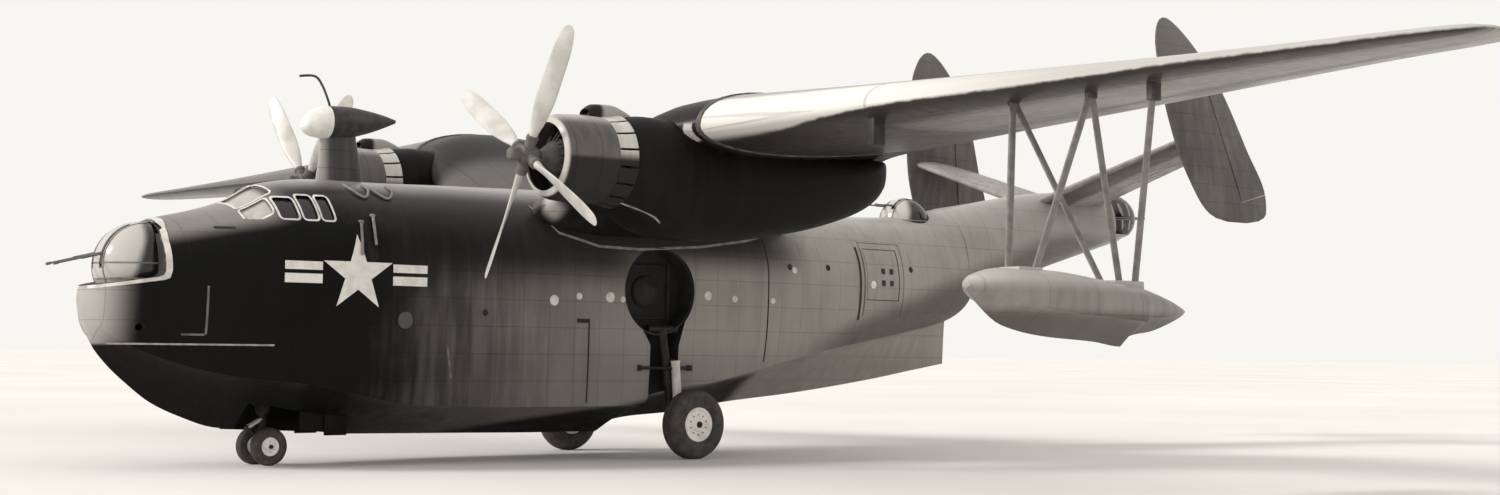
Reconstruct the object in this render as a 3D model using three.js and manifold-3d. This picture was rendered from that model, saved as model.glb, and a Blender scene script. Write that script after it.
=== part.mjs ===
// Flying boat: twin-engine amphibian with a gull wing, twin fins, two wing floats and a
// tricycle landing gear, in millimetres. x points to port, y runs aft, z is up, and the
// ground is at z = 0. Stations are counted aft from the front of the bow.

import * as THREE from 'three';
import { mergeVertices } from 'three/addons/utils/BufferGeometryUtils.js';
import Module from 'manifold-3d';

const wasm = await Module();
wasm.setup();

// Driving dimensions
const HALF_SPAN = 17985;
const HULL_HALF_WIDTH = 1520;
const NACELLE_X = 3620;
const THRUST_Z = 4880;
const PROPELLER_Y = 5590;
const GUN_TIP_Y = -440;
const TAIL_GUN_TIP_Y = 24800;
const MAIN_WHEEL = { x: 1910, y: 10290, radius: 603, width: 430, rim: 300 };
const NOSE_WHEEL = { x: 250, y: 3050, radius: 300, width: 190, rim: 150 };
const FLOAT_X = 12000;
const FIT = 0.3;

const boat = new THREE.Group();
boat.name = 'flying_boat';
boat.position.y = -(GUN_TIP_Y + TAIL_GUN_TIP_Y) / 2;

// Finishes
const finish = (color, roughness, metalness) => ({ color, roughness, metalness });
const NAVY = finish(0x2b2a2b, 0.5, 0.2);
const WING_GREY = finish(0x9b958c, 0.45, 0.3);
const WHITE = finish(0xe8e4dc, 0.4, 0.0);
const BLACK = finish(0x161514, 0.6, 0.1);
const STEEL = finish(0x6f6c68, 0.4, 0.8);
const BLADE_GREY = finish(0xb9b4ac, 0.4, 0.5);
const GLAZING = finish(0x40444a, 0.1, 0.0);
const TYRE_BLACK = finish(0x1d1b1a, 0.85, 0.0);

function add(name, geometry, look, place = [0, 0, 0]) {
  const mesh = new THREE.Mesh(geometry, new THREE.MeshStandardMaterial(look));
  mesh.name = name;
  mesh.position.set(...place);
  boat.add(mesh);
}

// A closed geometry becomes a solid for the cuts and joins, and goes back to a geometry
function solid(geometry) {
  const bare = geometry.clone();
  bare.deleteAttribute('normal');
  bare.deleteAttribute('uv');
  const merged = mergeVertices(bare, 0.001);
  return new wasm.Manifold(new wasm.Mesh({
    numProp: 3,
    vertProperties: new Float32Array(merged.attributes.position.array),
    triVerts: new Uint32Array(merged.index.array),
  }));
}

function geometryOf(manifold) {
  const mesh = manifold.getMesh();
  const geometry = new THREE.BufferGeometry();
  geometry.setAttribute('position', new THREE.BufferAttribute(new Float32Array(mesh.vertProperties), 3));
  geometry.setIndex(new THREE.BufferAttribute(new Uint32Array(mesh.triVerts), 1));
  return geometry;
}

const cut = (whole, ...cutters) => cutters.reduce((rest, cutter) => rest.subtract(cutter), whole);
const join = (...pieces) => pieces.reduce((sum, piece) => sum.add(piece));
const biggest = (manifold) => manifold.decompose().reduce((a, b) => (a.volume() > b.volume() ? a : b));

// Faces point outwards: the signed volume tells which way a geometry is wound
function facingOut(geometry) {
  const p = geometry.attributes.position;
  const index = geometry.index;
  const [a, b, c] = [new THREE.Vector3(), new THREE.Vector3(), new THREE.Vector3()];
  let volume = 0;
  for (let i = 0; i < index.count; i += 3) {
    a.fromBufferAttribute(p, index.getX(i));
    b.fromBufferAttribute(p, index.getX(i + 1));
    c.fromBufferAttribute(p, index.getX(i + 2));
    volume += a.dot(b.cross(c));
  }
  if (volume < 0) {
    for (let i = 0; i < index.count; i += 3) {
      const second = index.getX(i + 1);
      index.setX(i + 1, index.getX(i + 2));
      index.setX(i + 2, second);
    }
  }
  return geometry;
}

function mirrored(geometry) {
  const copy = geometry.clone().scale(-1, 1, 1);
  copy.deleteAttribute('normal');
  if (!copy.index) copy.setIndex([...Array(copy.attributes.position.count).keys()]);
  return facingOut(copy);
}

const SIDES = { left: 1, right: -1 };

function addPair(name, geometry, look) {
  add(`${name}_left`, geometry, look);
  add(`${name}_right`, mirrored(geometry), look);
}

// Loft: rings of equal point counts joined into one skin, with a fan over each end. The second half
// of a ring is split along the other diagonal, so that a ring alike on both sides gives such a skin
function loft(rings) {
  const count = rings[0].length;
  const position = rings.flat(2);
  const index = [];
  for (let r = 0; r < rings.length - 1; r++) {
    for (let i = 0; i < count; i++) {
      const j = (i + 1) % count;
      const [a, b, c, d] = [r * count + i, r * count + j, (r + 1) * count + j, (r + 1) * count + i];
      index.push(...(i < count / 2 ? [a, b, c, a, c, d] : [b, c, d, b, d, a]));
    }
  }
  for (const [r, first] of [[0, true], [rings.length - 1, false]]) {
    const middle = [0, 1, 2].map((k) => rings[r].reduce((sum, point) => sum + point[k], 0) / count);
    const centre = position.length / 3;
    position.push(...middle);
    for (let i = 0; i < count; i++) {
      const [a, b] = [r * count + i, r * count + ((i + 1) % count)];
      index.push(...(first ? [centre, b, a] : [centre, a, b]));
    }
  }
  const geometry = new THREE.BufferGeometry();
  geometry.setAttribute('position', new THREE.Float32BufferAttribute(position, 3));
  geometry.setIndex(index);
  return facingOut(geometry);
}

const box = (x0, x1, y0, y1, z0, z1) =>
  new THREE.BoxGeometry(x1 - x0, y1 - y0, z1 - z0).translate((x0 + x1) / 2, (y0 + y1) / 2, (z0 + z1) / 2);
const block = (...sides) => solid(box(...sides));

// Rod between two points, round or flattened across the airflow into a streamlined strut
function rod(from, to, radius, segments = 10, flatten = 1) {
  const a = new THREE.Vector3(...from);
  const b = new THREE.Vector3(...to);
  const up = b.clone().sub(a).normalize();
  const towards = Math.abs(up.y) < 0.9 ? new THREE.Vector3(0, 1, 0) : new THREE.Vector3(1, 0, 0);
  const aft = towards.addScaledVector(up, -towards.dot(up)).normalize();
  const side = new THREE.Vector3().crossVectors(up, aft);
  const geometry = new THREE.CylinderGeometry(radius, radius, a.distanceTo(b), segments);
  geometry.scale(flatten, 1, 1);
  geometry.applyMatrix4(new THREE.Matrix4().makeBasis(side, up, aft));
  return geometry.translate(...a.add(b).multiplyScalar(0.5).toArray());
}

// Turned body: a profile of [radius, distance] about the y axis
const turned = (profile, segments) =>
  new THREE.LatheGeometry(profile.map(([r, d]) => new THREE.Vector2(r, d)), segments);

// Turned about the x axis, with a flat side at the bottom: the radii reach the middle of the sides
function turnedWheel(profile, segments) {
  const half = Math.PI / segments;
  const points = profile.map(([r, d]) => new THREE.Vector2(r / Math.cos(half), d));
  return new THREE.LatheGeometry(points, segments, half).rotateZ(-Math.PI / 2);
}

// Hull: V bottom with a hard chine, slab sides and a round roof
// Columns: station, keel z, chine half width, chine z, side half width, shoulder z, top z
const HULL_BOW = [
  [60, 2350, 120, 2440, 200, 2560, 2760],
  [180, 1960, 330, 2180, 470, 2640, 3060],
  [430, 1620, 560, 1960, 740, 2760, 3420],
  [790, 1290, 760, 1760, 960, 2900, 3700],
  [1180, 1000, 920, 1620, 1140, 3000, 3850],
  [1640, 790, 1080, 1490, 1290, 3060, 3960],
  [2210, 610, 1240, 1390, 1410, 3120, 4130],
  [2900, 545, 1350, 1330, 1480, 3180, 4480],
  [3720, 480, 1420, 1190, 1510, 3220, 4595],
  [5000, 465, 1450, 970, HULL_HALF_WIDTH, 3260, 4610],
];
const HULL_CENTRE = [
  HULL_BOW.at(-1),
  [6530, 450, 1455, 920, HULL_HALF_WIDTH, 3280, 4650],
  [8370, 430, 1455, 920, HULL_HALF_WIDTH, 3280, 4680],
  [9560, 430, 1450, 925, HULL_HALF_WIDTH, 3280, 4680],
  [9600, 550, 1440, 1020, HULL_HALF_WIDTH, 3280, 4680],
  [11300, 770, 1380, 1350, 1510, 3250, 4640],
  [12600, 940, 1290, 1620, 1480, 3220, 4600],
];
const HULL_AFT = [
  HULL_CENTRE.at(-1),
  [14190, 1090, 1080, 1930, 1370, 3200, 4570],
  [16330, 1360, 640, 2230, 1160, 3250, 4620],
  [17600, 1560, 300, 2420, 1010, 3350, 4780],
  [18380, 1680, 60, 2560, 920, 3450, 4930],
];
const HULL_TAIL = [
  [18380, 2690, 330, 2790, 920, 3600, 4930],
  [19140, 3080, 380, 3180, 830, 3850, 5060],
  [20110, 3360, 360, 3460, 740, 4080, 5230],
  [21320, 3740, 320, 3830, 630, 4360, 5400],
  [22500, 4070, 270, 4150, 520, 4600, 5480],
  [24000, 4480, 200, 4560, 400, 4800, 5450],
];
const ROOF_STEPS = 6;

function hullRing([y, keel, chineX, chineZ, side, shoulder, top], grow = 0) {
  const half = [
    [chineX * 0.62 + grow, keel + (chineZ - keel) * 0.78 - grow],
    [chineX + grow, chineZ - grow],
    [chineX + (side - chineX) * 0.75 + grow, chineZ + (shoulder - chineZ) * 0.4],
  ];
  for (let i = 0; i < ROOF_STEPS; i++) {
    const turn = (i / ROOF_STEPS) * (Math.PI / 2);
    half.push([(side + grow) * Math.cos(turn), shoulder + (top + grow - shoulder) * Math.sin(turn)]);
  }
  const port = half.map(([x, z]) => [x, y, z]);
  const starboard = half.map(([x, z]) => [-x, y, z]).reverse();
  return [[0, y, keel - grow], ...port, [0, y, top + grow], ...starboard];
}

function rowAt(table, y) {
  const i = Math.max(1, table.findIndex(([station]) => station >= y));
  const t = (y - table[i - 1][0]) / (table[i][0] - table[i - 1][0]);
  return table[i].map((value, k) => table[i - 1][k] + (value - table[i - 1][k]) * t);
}

function hullSlice(table, y0, y1, grow = 0) {
  const inside = table.filter(([y]) => y > y0 && y < y1);
  return solid(loft([rowAt(table, y0), ...inside, rowAt(table, y1)].map((row) => hullRing(row, grow))));
}

// The hull sections meet at butt frames with a thin gap
const BUTT = FIT / 2;
const section = (table) => hullSlice(table, table[0][0] + BUTT, table.at(-1)[0] - BUTT);

// Turrets: a glazed ball with gun slots in a spherical seat, and twin guns on a trunnion in it
// y, z: ball centre; foot: its flat underside below the centre; trunnion: height above the centre;
// reach: muzzle from the centre; droop: rest angle of the guns; ahead: -1 when they point aft
const TURRETS = {
  bow: { y: 950, z: 3080, radius: 690, foot: 330, trunnion: 340, gunX: 150, gun: 27, droop: 14, ahead: 1 },
  dorsal: { y: 17220, z: 4540, radius: 520, foot: 200, trunnion: 340, gunX: 120, gun: 25, droop: 0, ahead: 1 },
  tail: { y: 23780, z: 4960, radius: 520, foot: 360, trunnion: 60, gunX: 110, gun: 24, droop: 0, ahead: -1 },
};
const GUN_REACH = { bow: TURRETS.bow.y - GUN_TIP_Y, dorsal: 900, tail: TAIL_GUN_TIP_Y - TURRETS.tail.y };
const GUN_TRAVEL = { bow: [-10, 55], dorsal: [-2, 70], tail: [-25, 35] };
const BALL_GAP = 22;
const SLOT_GAP = 9;
const TRUNNION_RADIUS = 40;
const TRUNNION_BORE = 40.9;
const BALL_SEGMENTS = 20;

function ball({ y, z, radius, foot }, grow, lift) {
  const sphere = new THREE.SphereGeometry(radius + grow, BALL_SEGMENTS, BALL_SEGMENTS / 2);
  return solid(sphere.rotateX(Math.PI / 2).translate(0, y, z))
    .subtract(block(-1000, 1000, y - 1000, y + 1000, z - 1000, z - foot - lift));
}

const trunnion = ({ y, z, trunnion: up, gunX }, radius, reach) =>
  solid(rod([-gunX - reach, y, z + up], [gunX + reach, y, z + up], radius, 16));

function gunSlot({ y, z, trunnion: up, gunX, gun, droop, ahead }, [low, high], side) {
  const half = gun + SLOT_GAP;
  const corners = [low - 4, (low + high) / 2, high + 4].map((angle) => {
    const turn = THREE.MathUtils.degToRad(angle - droop);
    return [y - ahead * 1800 * Math.cos(turn), z + up + 1800 * Math.sin(turn)];
  });
  const clear = half / Math.cos(THREE.MathUtils.degToRad(20));
  const back = y + ahead * clear;
  const outline = [[back, z + up - clear], ...corners, [back, z + up + clear]];
  return solid(loft([side * gunX - half, side * gunX + half].map((x) => outline.map(([a, b]) => [x, a, b]))));
}

function addTurret(name) {
  const turret = TURRETS[name];
  const { y, z, gunX, gun, droop, ahead } = turret;
  const axisZ = z + turret.trunnion;
  const slots = Object.values(SIDES).map((side) => gunSlot(turret, GUN_TRAVEL[name], side));
  const dome = cut(ball(turret, 0, 0), trunnion(turret, TRUNNION_BORE, gun + 62), ...slots);
  add(`${name}_turret`, geometryOf(dome), GLAZING);
  const turn = THREE.MathUtils.degToRad(droop);
  const reach = GUN_REACH[name] - gun * Math.sin(turn);
  const barrels = Object.values(SIDES).map((side) => {
    const muzzle = [side * gunX, y - ahead * reach, axisZ - reach * Math.tan(turn)];
    return solid(rod([side * gunX, y, axisZ], muzzle, gun, 8));
  });
  const guns = join(trunnion(turret, TRUNNION_RADIUS, gun + 60), ...barrels);
  add(`${name}_guns`, geometryOf(guns), BLACK);
}

// Bow: seat and cutaway for the bow turret, nose gear bay, a mooring plate and a hollow cockpit
const BOW_RIM_Z = 2750;
const ARCH = { y: 900, z: 3770, slope: 0.3 };
const archY = (z) => ARCH.y + (ARCH.z - z) * ARCH.slope;
const bowCutaway = solid(loft([-1500, 1500].map((x) => [
  [x, -500, BOW_RIM_Z], [x, -500, 4300], [x, archY(4300), 4300], [x, archY(BOW_RIM_Z), BOW_RIM_Z],
])));
const NOSE_BAY = { halfWidth: 520, y0: 2560, y1: 4300, roof: 1380 };
const COCKPIT = { y0: 2080, y1: 4200, floor: 2700, wall: 70 };
const CANOPY = { y0: 2080, y1: 3620, sill: 3760, glass: 14 };

const cockpitHollow = hullSlice(HULL_BOW, COCKPIT.y0, COCKPIT.y1, -COCKPIT.wall)
  .intersect(block(-1600, 1600, 0, COCKPIT.y1, COCKPIT.floor, 5000));
const bowSkin = section(HULL_BOW);
const canopyZone = (grow) =>
  block(-1700, 1700, CANOPY.y0 - grow, CANOPY.y1 + grow, CANOPY.sill - grow, 5000);
const noseBay = block(
  -NOSE_BAY.halfWidth, NOSE_BAY.halfWidth, NOSE_BAY.y0, NOSE_BAY.y1, 300, NOSE_BAY.roof,
);
// At full traverse the raised guns pass through a notch in each shoulder of the arch
const GUN_NOTCH = { x0: 290, x1: 640, y1: 1030, z0: 3565 };
const gunNotch = (side) => {
  const reach = [side * GUN_NOTCH.x0, side * GUN_NOTCH.x1].sort((a, b) => a - b);
  return block(...reach, 0, GUN_NOTCH.y1, GUN_NOTCH.z0, 4300);
};
const MOORING = { y: 90, z0: 1980, z1: 2200, halfWidth: 110 };
const mooringPlate = block(-MOORING.halfWidth, MOORING.halfWidth, MOORING.y, 900, MOORING.z0, MOORING.z1);
add('hull_bow', geometryOf(cut(
  join(bowSkin, mooringPlate), canopyZone(FIT), cockpitHollow, bowCutaway, gunNotch(1), gunNotch(-1),
  ball(TURRETS.bow, BALL_GAP, FIT), noseBay,
)), NAVY);

// Canopy: frames with their window openings, and the glass just inside them
// Columns: first x, last x, first station, last station, lowest z, highest z
const WINDOWS = [
  [-1700, 1700, 2700, 2980, 3850, 4200],
  [-1700, 1700, 3060, 3290, 3850, 4250],
  [-1700, 1700, 3360, 3560, 3850, 4250],
  [-1700, -760, 2200, 2620, 3830, 5000],
  [-680, -40, 2200, 2760, 3900, 5000],
  [40, 680, 2200, 2760, 3900, 5000],
  [760, 1700, 2200, 2620, 3830, 5000],
];
const EDGE = 60;
const canopyInside = (wall, edge) => hullSlice(HULL_BOW, CANOPY.y0 + edge, CANOPY.y1 - edge, -wall);
add('canopy_frame', geometryOf(cut(
  bowSkin.intersect(canopyZone(0)),
  canopyInside(COCKPIT.wall, EDGE),
  ...WINDOWS.map((sides) => block(...sides)),
)), NAVY);
add('canopy_glass', geometryOf(
  canopyInside(COCKPIT.wall + FIT, EDGE + FIT)
    .subtract(canopyInside(COCKPIT.wall + CANOPY.glass, EDGE - 1))
    .intersect(block(-1600, 1600, 0, 5000, CANOPY.sill + 2, 5000)),
), GLAZING);

// Centre hull: round main wheel wells with a slot for the leg down through the chine
const WELL = { y: 9830, z: 2920, radius: 770, depth: 470, slotY0: 9640, slotY1: 10280, slotTop: 2500 };
const wellFloorX = HULL_HALF_WIDTH - WELL.depth;
function wheelWell(side) {
  const disc = new THREE.CylinderGeometry(WELL.radius, WELL.radius, 1000, 28)
    .rotateZ(Math.PI / 2).translate(side * (wellFloorX + 500), WELL.y, WELL.z);
  const reach = [side * wellFloorX, side * (wellFloorX + 1000)].sort((a, b) => a - b);
  return join(solid(disc), block(...reach, WELL.slotY0, WELL.slotY1, 300, WELL.slotTop));
}
add('hull_centre', geometryOf(cut(section(HULL_CENTRE), ...Object.values(SIDES).map(wheelWell))), NAVY);

// Aft hull: the waist hatch on each side closes a small lobby
const HATCH = {
  y0: 15020, y1: 15980, z0: 2900, z1: 3900, thickness: 45, gap: 12, swing: 24, hingeGap: 0.5, lobby: 560,
};
const hatchDoor = (side) => {
  const reach = [side * HATCH.lobby, side * 1700].sort((a, b) => a - b);
  const { y0, y1, z0, z1, gap, swing, hingeGap } = HATCH;
  return {
    hole: block(...reach, y0, y1, z0, z1),
    panel: block(...reach, y0 + hingeGap, y1 - swing, z0 + gap, z1 - gap),
  };
};
const aftSkin = section(HULL_AFT);
const aftShell = aftSkin.subtract(hullSlice(HULL_AFT, 12700, 18300, -HATCH.thickness));
const doors = Object.fromEntries(Object.entries(SIDES).map(([name, side]) => [name, hatchDoor(side)]));
add('hull_aft', geometryOf(
  cut(aftSkin, doors.left.hole, doors.right.hole, ball(TURRETS.dorsal, BALL_GAP, FIT)),
), NAVY);
for (const name of Object.keys(SIDES)) {
  add(`waist_hatch_${name}`, geometryOf(aftShell.intersect(doors[name].panel)), NAVY);
}

// Wing: airfoil rings, the gull panel from the hull to the nacelle and the flat outer panel
// Columns: x, leading edge station, chord, chord plane z, thickness to chord
const GULL = [
  [150, 7350, 5650, 3700, 0.19],
  [1000, 7360, 5640, 4060, 0.19],
  [1500, 7380, 5620, 4290, 0.195],
  [2500, 7680, 5500, 4850, 0.2],
  [3200, 7930, 5400, 5230, 0.2],
  [3620, 8080, 5330, 5380, 0.195],
  [4450, 8300, 5180, 5480, 0.19],
];
const OUTER = [
  GULL.at(-1),
  [10600, 8380, 3300, 5500, 0.155],
  [16300, 8450, 1560, 5520, 0.12],
  [17200, 8520, 1200, 5522, 0.12],
  [17700, 8640, 830, 5524, 0.12],
  [HALF_SPAN, 8830, 380, 5525, 0.12],
];
const FOIL_STEPS = 8;

// Half thickness of a symmetrical airfoil at a share of the chord
const foil = (t, ratio) =>
  5 * ratio * (0.2969 * Math.sqrt(t) - 0.126 * t - 0.3516 * t ** 2 + 0.2843 * t ** 3 - 0.1036 * t ** 4);
const foilStations = [...Array(FOIL_STEPS + 1).keys()]
  .map((i) => (1 - Math.cos((Math.PI * i) / FOIL_STEPS)) / 2);
const CAMBER = 0.28;

function foilPoints(chord, ratio, camber, grow) {
  const inner = foilStations.slice(1, -1);
  const upper = inner.map((t) => [t * chord, foil(t, ratio) * chord * (1 + camber) + grow]);
  const lower = inner.map((t) => [t * chord, -foil(t, ratio) * chord * (1 - camber) - grow]);
  return [[-grow, 0], ...upper, [chord + grow, 0], ...lower.reverse()];
}

const wingLoft = (table, grow = 0) => solid(loft(table.map(([x, y, chord, z, ratio]) =>
  foilPoints(chord, ratio, CAMBER, grow).map(([a, b]) => [x, y + a, z + b]))));

// Hinged surface: what lies aft of a hinge line from a to b, with a wedge nose that gives it travel
// and a pin at each end that runs up to the fixed panel. Its ends are square to the hinge line
const BIG = 1200;
const HINGE_GAP = 12;
const END_GAP = 22;
const PIN = { radius: 9, root: 90, sides: 8 };

function hinged(panel, a, b, up, travel, gap = HINGE_GAP) {
  const [from, to] = [new THREE.Vector3(...a), new THREE.Vector3(...b)];
  const along = to.clone().sub(from).normalize();
  const rise = up.clone().addScaledVector(along, -up.dot(along)).normalize();
  const aft = new THREE.Vector3().crossVectors(rise, along);
  aft.multiplyScalar(Math.sign(aft.y));
  const wedge = Math.tan(THREE.MathUtils.degToRad(travel)) * BIG;
  const ring = (point, offsets) => offsets.map(([back, lift]) =>
    point.clone().addScaledVector(aft, back).addScaledVector(rise, lift).toArray());
  const room = [[-gap, -BIG], [-gap, BIG], [2 * BIG, BIG], [2 * BIG, -BIG]];
  const nose = [[0, 0], [wedge, BIG], [2 * BIG + wedge, BIG], [2 * BIG + wedge, -BIG], [wedge, -BIG]];
  const hole = solid(loft([from, to].map((point) => ring(point, room))));
  const inFrom = (point, distance) => point.clone().addScaledVector(along, distance);
  const zone = solid(loft([inFrom(from, END_GAP), inFrom(to, -END_GAP)].map((point) => ring(point, nose))));
  const pins = [[from, 1], [to, -1]].map(([point, inward]) => solid(rod(
    inFrom(point, inward * FIT).toArray(), inFrom(point, inward * PIN.root).toArray(), PIN.radius, PIN.sides,
  )));
  return { fixed: panel.subtract(hole), moving: join(biggest(panel.intersect(zone)), ...pins) };
}

const hullAround = join(
  ...[HULL_BOW, HULL_CENTRE, HULL_AFT].map((table) => hullSlice(table, table[0][0], table.at(-1)[0], FIT)),
);
const gullPanel = biggest(wingLoft(GULL).subtract(hullAround).subtract(block(-500, 40, 0, 20000, 0, 9000)));
const panelGap = block(4000, 4450 + FIT, 0, 20000, 0, 9000);
const outerWhole = wingLoft(OUTER).subtract(panelGap);
const UP = new THREE.Vector3(0, 0, 1);
const AILERON = { from: [10650, 10640, 5500], to: [16200, 9600, 5520], travel: 20 };
const FLAP = { from: [4700, 12200, 5345], to: [10600, 10940, 5445], gap: 28 };
const withAileron = hinged(outerWhole, AILERON.from, AILERON.to, UP, AILERON.travel);
const withFlap = hinged(withAileron.fixed, FLAP.from, FLAP.to, UP, 0, FLAP.gap);
// Wing rack: a short pylon under each outer wing, with a flat foot
const RACK = { x: 8200, y0: 8560, y1: 8800, foot: 4920, halfWidth: 70 };
const rack = block(RACK.x - RACK.halfWidth, RACK.x + RACK.halfWidth, RACK.y0, RACK.y1, RACK.foot, 5480);
addPair('wing_gull', geometryOf(gullPanel), NAVY);
addPair('wing_outer', geometryOf(join(withFlap.fixed, rack)), WING_GREY);
addPair('aileron', geometryOf(withAileron.moving), WING_GREY);
addPair('flap', geometryOf(withFlap.moving), WING_GREY);
const wingAround = join(wingLoft(GULL, FIT), wingLoft(OUTER, FIT));

// Nacelles: deep oval bodies under the wing, with the weapons bay in their lower half
// Columns: station, bottom z, top z, half width
const NACELLE = [
  [7100, 4240, 5530, 650],
  [7300, 4060, 5590, 670],
  [7700, 3800, 5640, 690],
  [8300, 3680, 5620, 700],
  [9340, 3700, 5450, 690],
  [10900, 3900, 5350, 640],
  [11900, 4140, 5300, 550],
  [12600, 4400, 5290, 430],
  [13000, 4700, 5290, 270],
  [13160, 5000, 5280, 120],
];
const NACELLE_SIDES = 18;
const NACELLE_POWER = 0.8;

const ovalRing = (x, y, bottom, top, halfWidth) => [...Array(NACELLE_SIDES).keys()].map((i) => {
  const turn = (i / NACELLE_SIDES) * 2 * Math.PI;
  const bulge = (value) => Math.sign(value) * Math.abs(value) ** NACELLE_POWER;
  return [
    x + halfWidth * bulge(Math.cos(turn)), y,
    (top + bottom) / 2 + ((top - bottom) / 2) * bulge(Math.sin(turn)),
  ];
});
const ROUND_SIDES = 24;
const COWL = { front: 5930, rear: 7200, rearRadius: 600, plugFront: 6950 };
const about = (geometry) => geometry.translate(NACELLE_X, 0, THRUST_Z);
const disc = (radius, y0, y1) =>
  solid(about(turned([[0, y0], [radius, y0], [radius, y1], [0, y1]], ROUND_SIDES)));
const plug = disc(COWL.rearRadius - FIT, COWL.plugFront, 7300);
const nacelleLoft = solid(loft(NACELLE.map(([y, ...size]) => ovalRing(NACELLE_X, y, ...size))));
const cowlZone = disc(800, 7000, COWL.rear + FIT);
const nacelle = biggest(nacelleLoft.subtract(cowlZone).subtract(wingAround));
addPair('nacelle', geometryOf(join(nacelle, plug)), NAVY);

// Cowls: a closed turned ring with a flared skirt of cooling flaps and an intake scoop on top
const COWL_PROFILE = [
  [535, COWL.front], [620, 5960], [675, 6100], [695, 6400], [695, 6850], [740, COWL.rear],
  [715, COWL.rear], [660, 6960], [COWL.rearRadius, 6960], [COWL.rearRadius, 6940], [640, 6700], [640, 6200],
  [535, COWL.front],
];
const cowlRing = solid(about(turned(COWL_PROFILE, ROUND_SIDES)));
const scoop = cut(
  solid(loft([[6280, 130, 60], [6420, 170, 110], [7180, 175, 120]].map(([y, halfWidth, rise]) =>
    ovalRing(NACELLE_X, y, THRUST_Z + 600, THRUST_Z + 695 + rise, halfWidth)))),
  disc(650, 6000, 7400),
);
addPair('cowl', geometryOf(join(cowlRing, scoop)), NAVY);

// Engines: crankcase, a front row of cylinders, and the rear row as one plain ring
const CYLINDERS = 9;
const CYLINDER = { y: 6330, radius: 92, from: 200, to: 590 };
const CRANKCASE = [
  [0, 5800], [75, 5800], [110, 5860], [230, 6020], [290, 6160], [290, 6480], [570, 6500], [570, 6900],
  [300, COWL.plugFront - FIT], [0, COWL.plugFront - FIT],
];
const engineParts = [solid(about(turned(CRANKCASE, 18)))];
for (let i = 0; i < CYLINDERS; i++) {
  const turn = (i / CYLINDERS) * 2 * Math.PI;
  const at = (r) => [NACELLE_X + r * Math.cos(turn), CYLINDER.y, THRUST_Z + r * Math.sin(turn)];
  engineParts.push(solid(rod(at(CYLINDER.from), at(CYLINDER.to), CYLINDER.radius, 8)));
}
addPair('engine', geometryOf(join(...engineParts)), STEEL);

// Propellers: a hub with a dome and four twisted blades
// Columns: radius, chord, thickness, pitch in degrees
const BLADE = [
  [90, 130, 130, 60],
  [330, 135, 125, 56],
  [600, 240, 80, 47],
  [1050, 330, 48, 37],
  [1650, 325, 30, 29],
  [2080, 230, 16, 24],
  [2190, 70, 8, 22],
];
const BLADES = 4;
const BLADE_SIDES = 8;
const PORT_BLADE_ANGLE = 58.95;
const STARBOARD_BLADE_ANGLE = 40.25;
const HUB = [
  [0, -330], [60, -325], [105, -270], [120, -200], [120, -120], [160, -110], [160, 110], [130, 150],
  [90, 209.7], [0, 209.7],
];

function bladeRing([radius, chord, thickness, pitch]) {
  const turn = THREE.MathUtils.degToRad(pitch);
  return [...Array(BLADE_SIDES).keys()].map((i) => {
    const around = (i / BLADE_SIDES) * 2 * Math.PI;
    const [across, out] = [(chord / 2) * Math.cos(around), (thickness / 2) * Math.sin(around)];
    return [
      across * Math.cos(turn) - out * Math.sin(turn),
      across * Math.sin(turn) + out * Math.cos(turn),
      radius,
    ];
  });
}

const bladeLoft = loft(BLADE.map(bladeRing));
for (const [name, side] of Object.entries(SIDES)) {
  const first = side > 0 ? PORT_BLADE_ANGLE : STARBOARD_BLADE_ANGLE;
  const blades = [...Array(BLADES).keys()].map((i) => {
    const turn = THREE.MathUtils.degToRad(90 - first - (360 / BLADES) * i);
    return solid(bladeLoft.clone().rotateY(turn));
  });
  const propeller = join(solid(turned(HUB, 16)), ...blades);
  add(`propeller_${name}`, geometryOf(propeller), BLADE_GREY, [side * NACELLE_X, PROPELLER_Y, THRUST_Z]);
}

// Radar: a streamlined pylon on the cockpit roof with a teardrop pod and a mast over it
// Columns: station of the middle, z, half chord, half width
const PYLON = [[4330, 4500, 440, 150], [4330, 4800, 400, 130], [4300, 5250, 330, 105], [4290, 5400, 320, 100]];
const RADOME = [
  [3610, 5450, 20], [3680, 5480, 130], [3840, 5520, 225], [4080, 5550, 272], [4400, 5572, 265],
  [4780, 5605, 200], [5100, 5638, 115], [5350, 5662, 30],
];
const RADOME_JOINT_Y = 4080;
const RADOME_SIDES = 16;
const podLoft = (grow) => solid(loft(RADOME.map(([y, z, r]) => [...Array(RADOME_SIDES).keys()].map((i) => {
  const turn = (i / RADOME_SIDES) * 2 * Math.PI;
  return [(r + grow) * Math.cos(turn), y, z + (r + grow) * Math.sin(turn)];
}))));
const pylonLoft = solid(loft(PYLON.map(([y, z, halfChord, halfWidth]) => [...Array(16).keys()].map((i) => {
  const turn = (i / 16) * 2 * Math.PI;
  return [halfWidth * Math.sin(turn), y - halfChord * Math.cos(turn), z];
}))));
add('radar_pylon', geometryOf(biggest(cut(pylonLoft, podLoft(FIT), hullAround))), NAVY);
const mastPath = [[0, 4140, 5760], [0, 4115, 5880], [0, 3990, 6150], [0, 3850, 6290], [0, 3580, 6270]];
const mastRods = mastPath.slice(1).map((to, i) => solid(rod(mastPath[i], to, 20, 8)));
const podBody = podLoft(0).intersect(block(-500, 500, RADOME_JOINT_Y + BUTT, 9000, 0, 9000));
const podNose = podLoft(0).intersect(block(-500, 500, 0, RADOME_JOINT_Y - BUTT, 0, 9000));
add('radome_nose', geometryOf(podNose), WHITE);
add('radome_body', geometryOf(join(podBody, ...mastRods)), BLACK);

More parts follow.
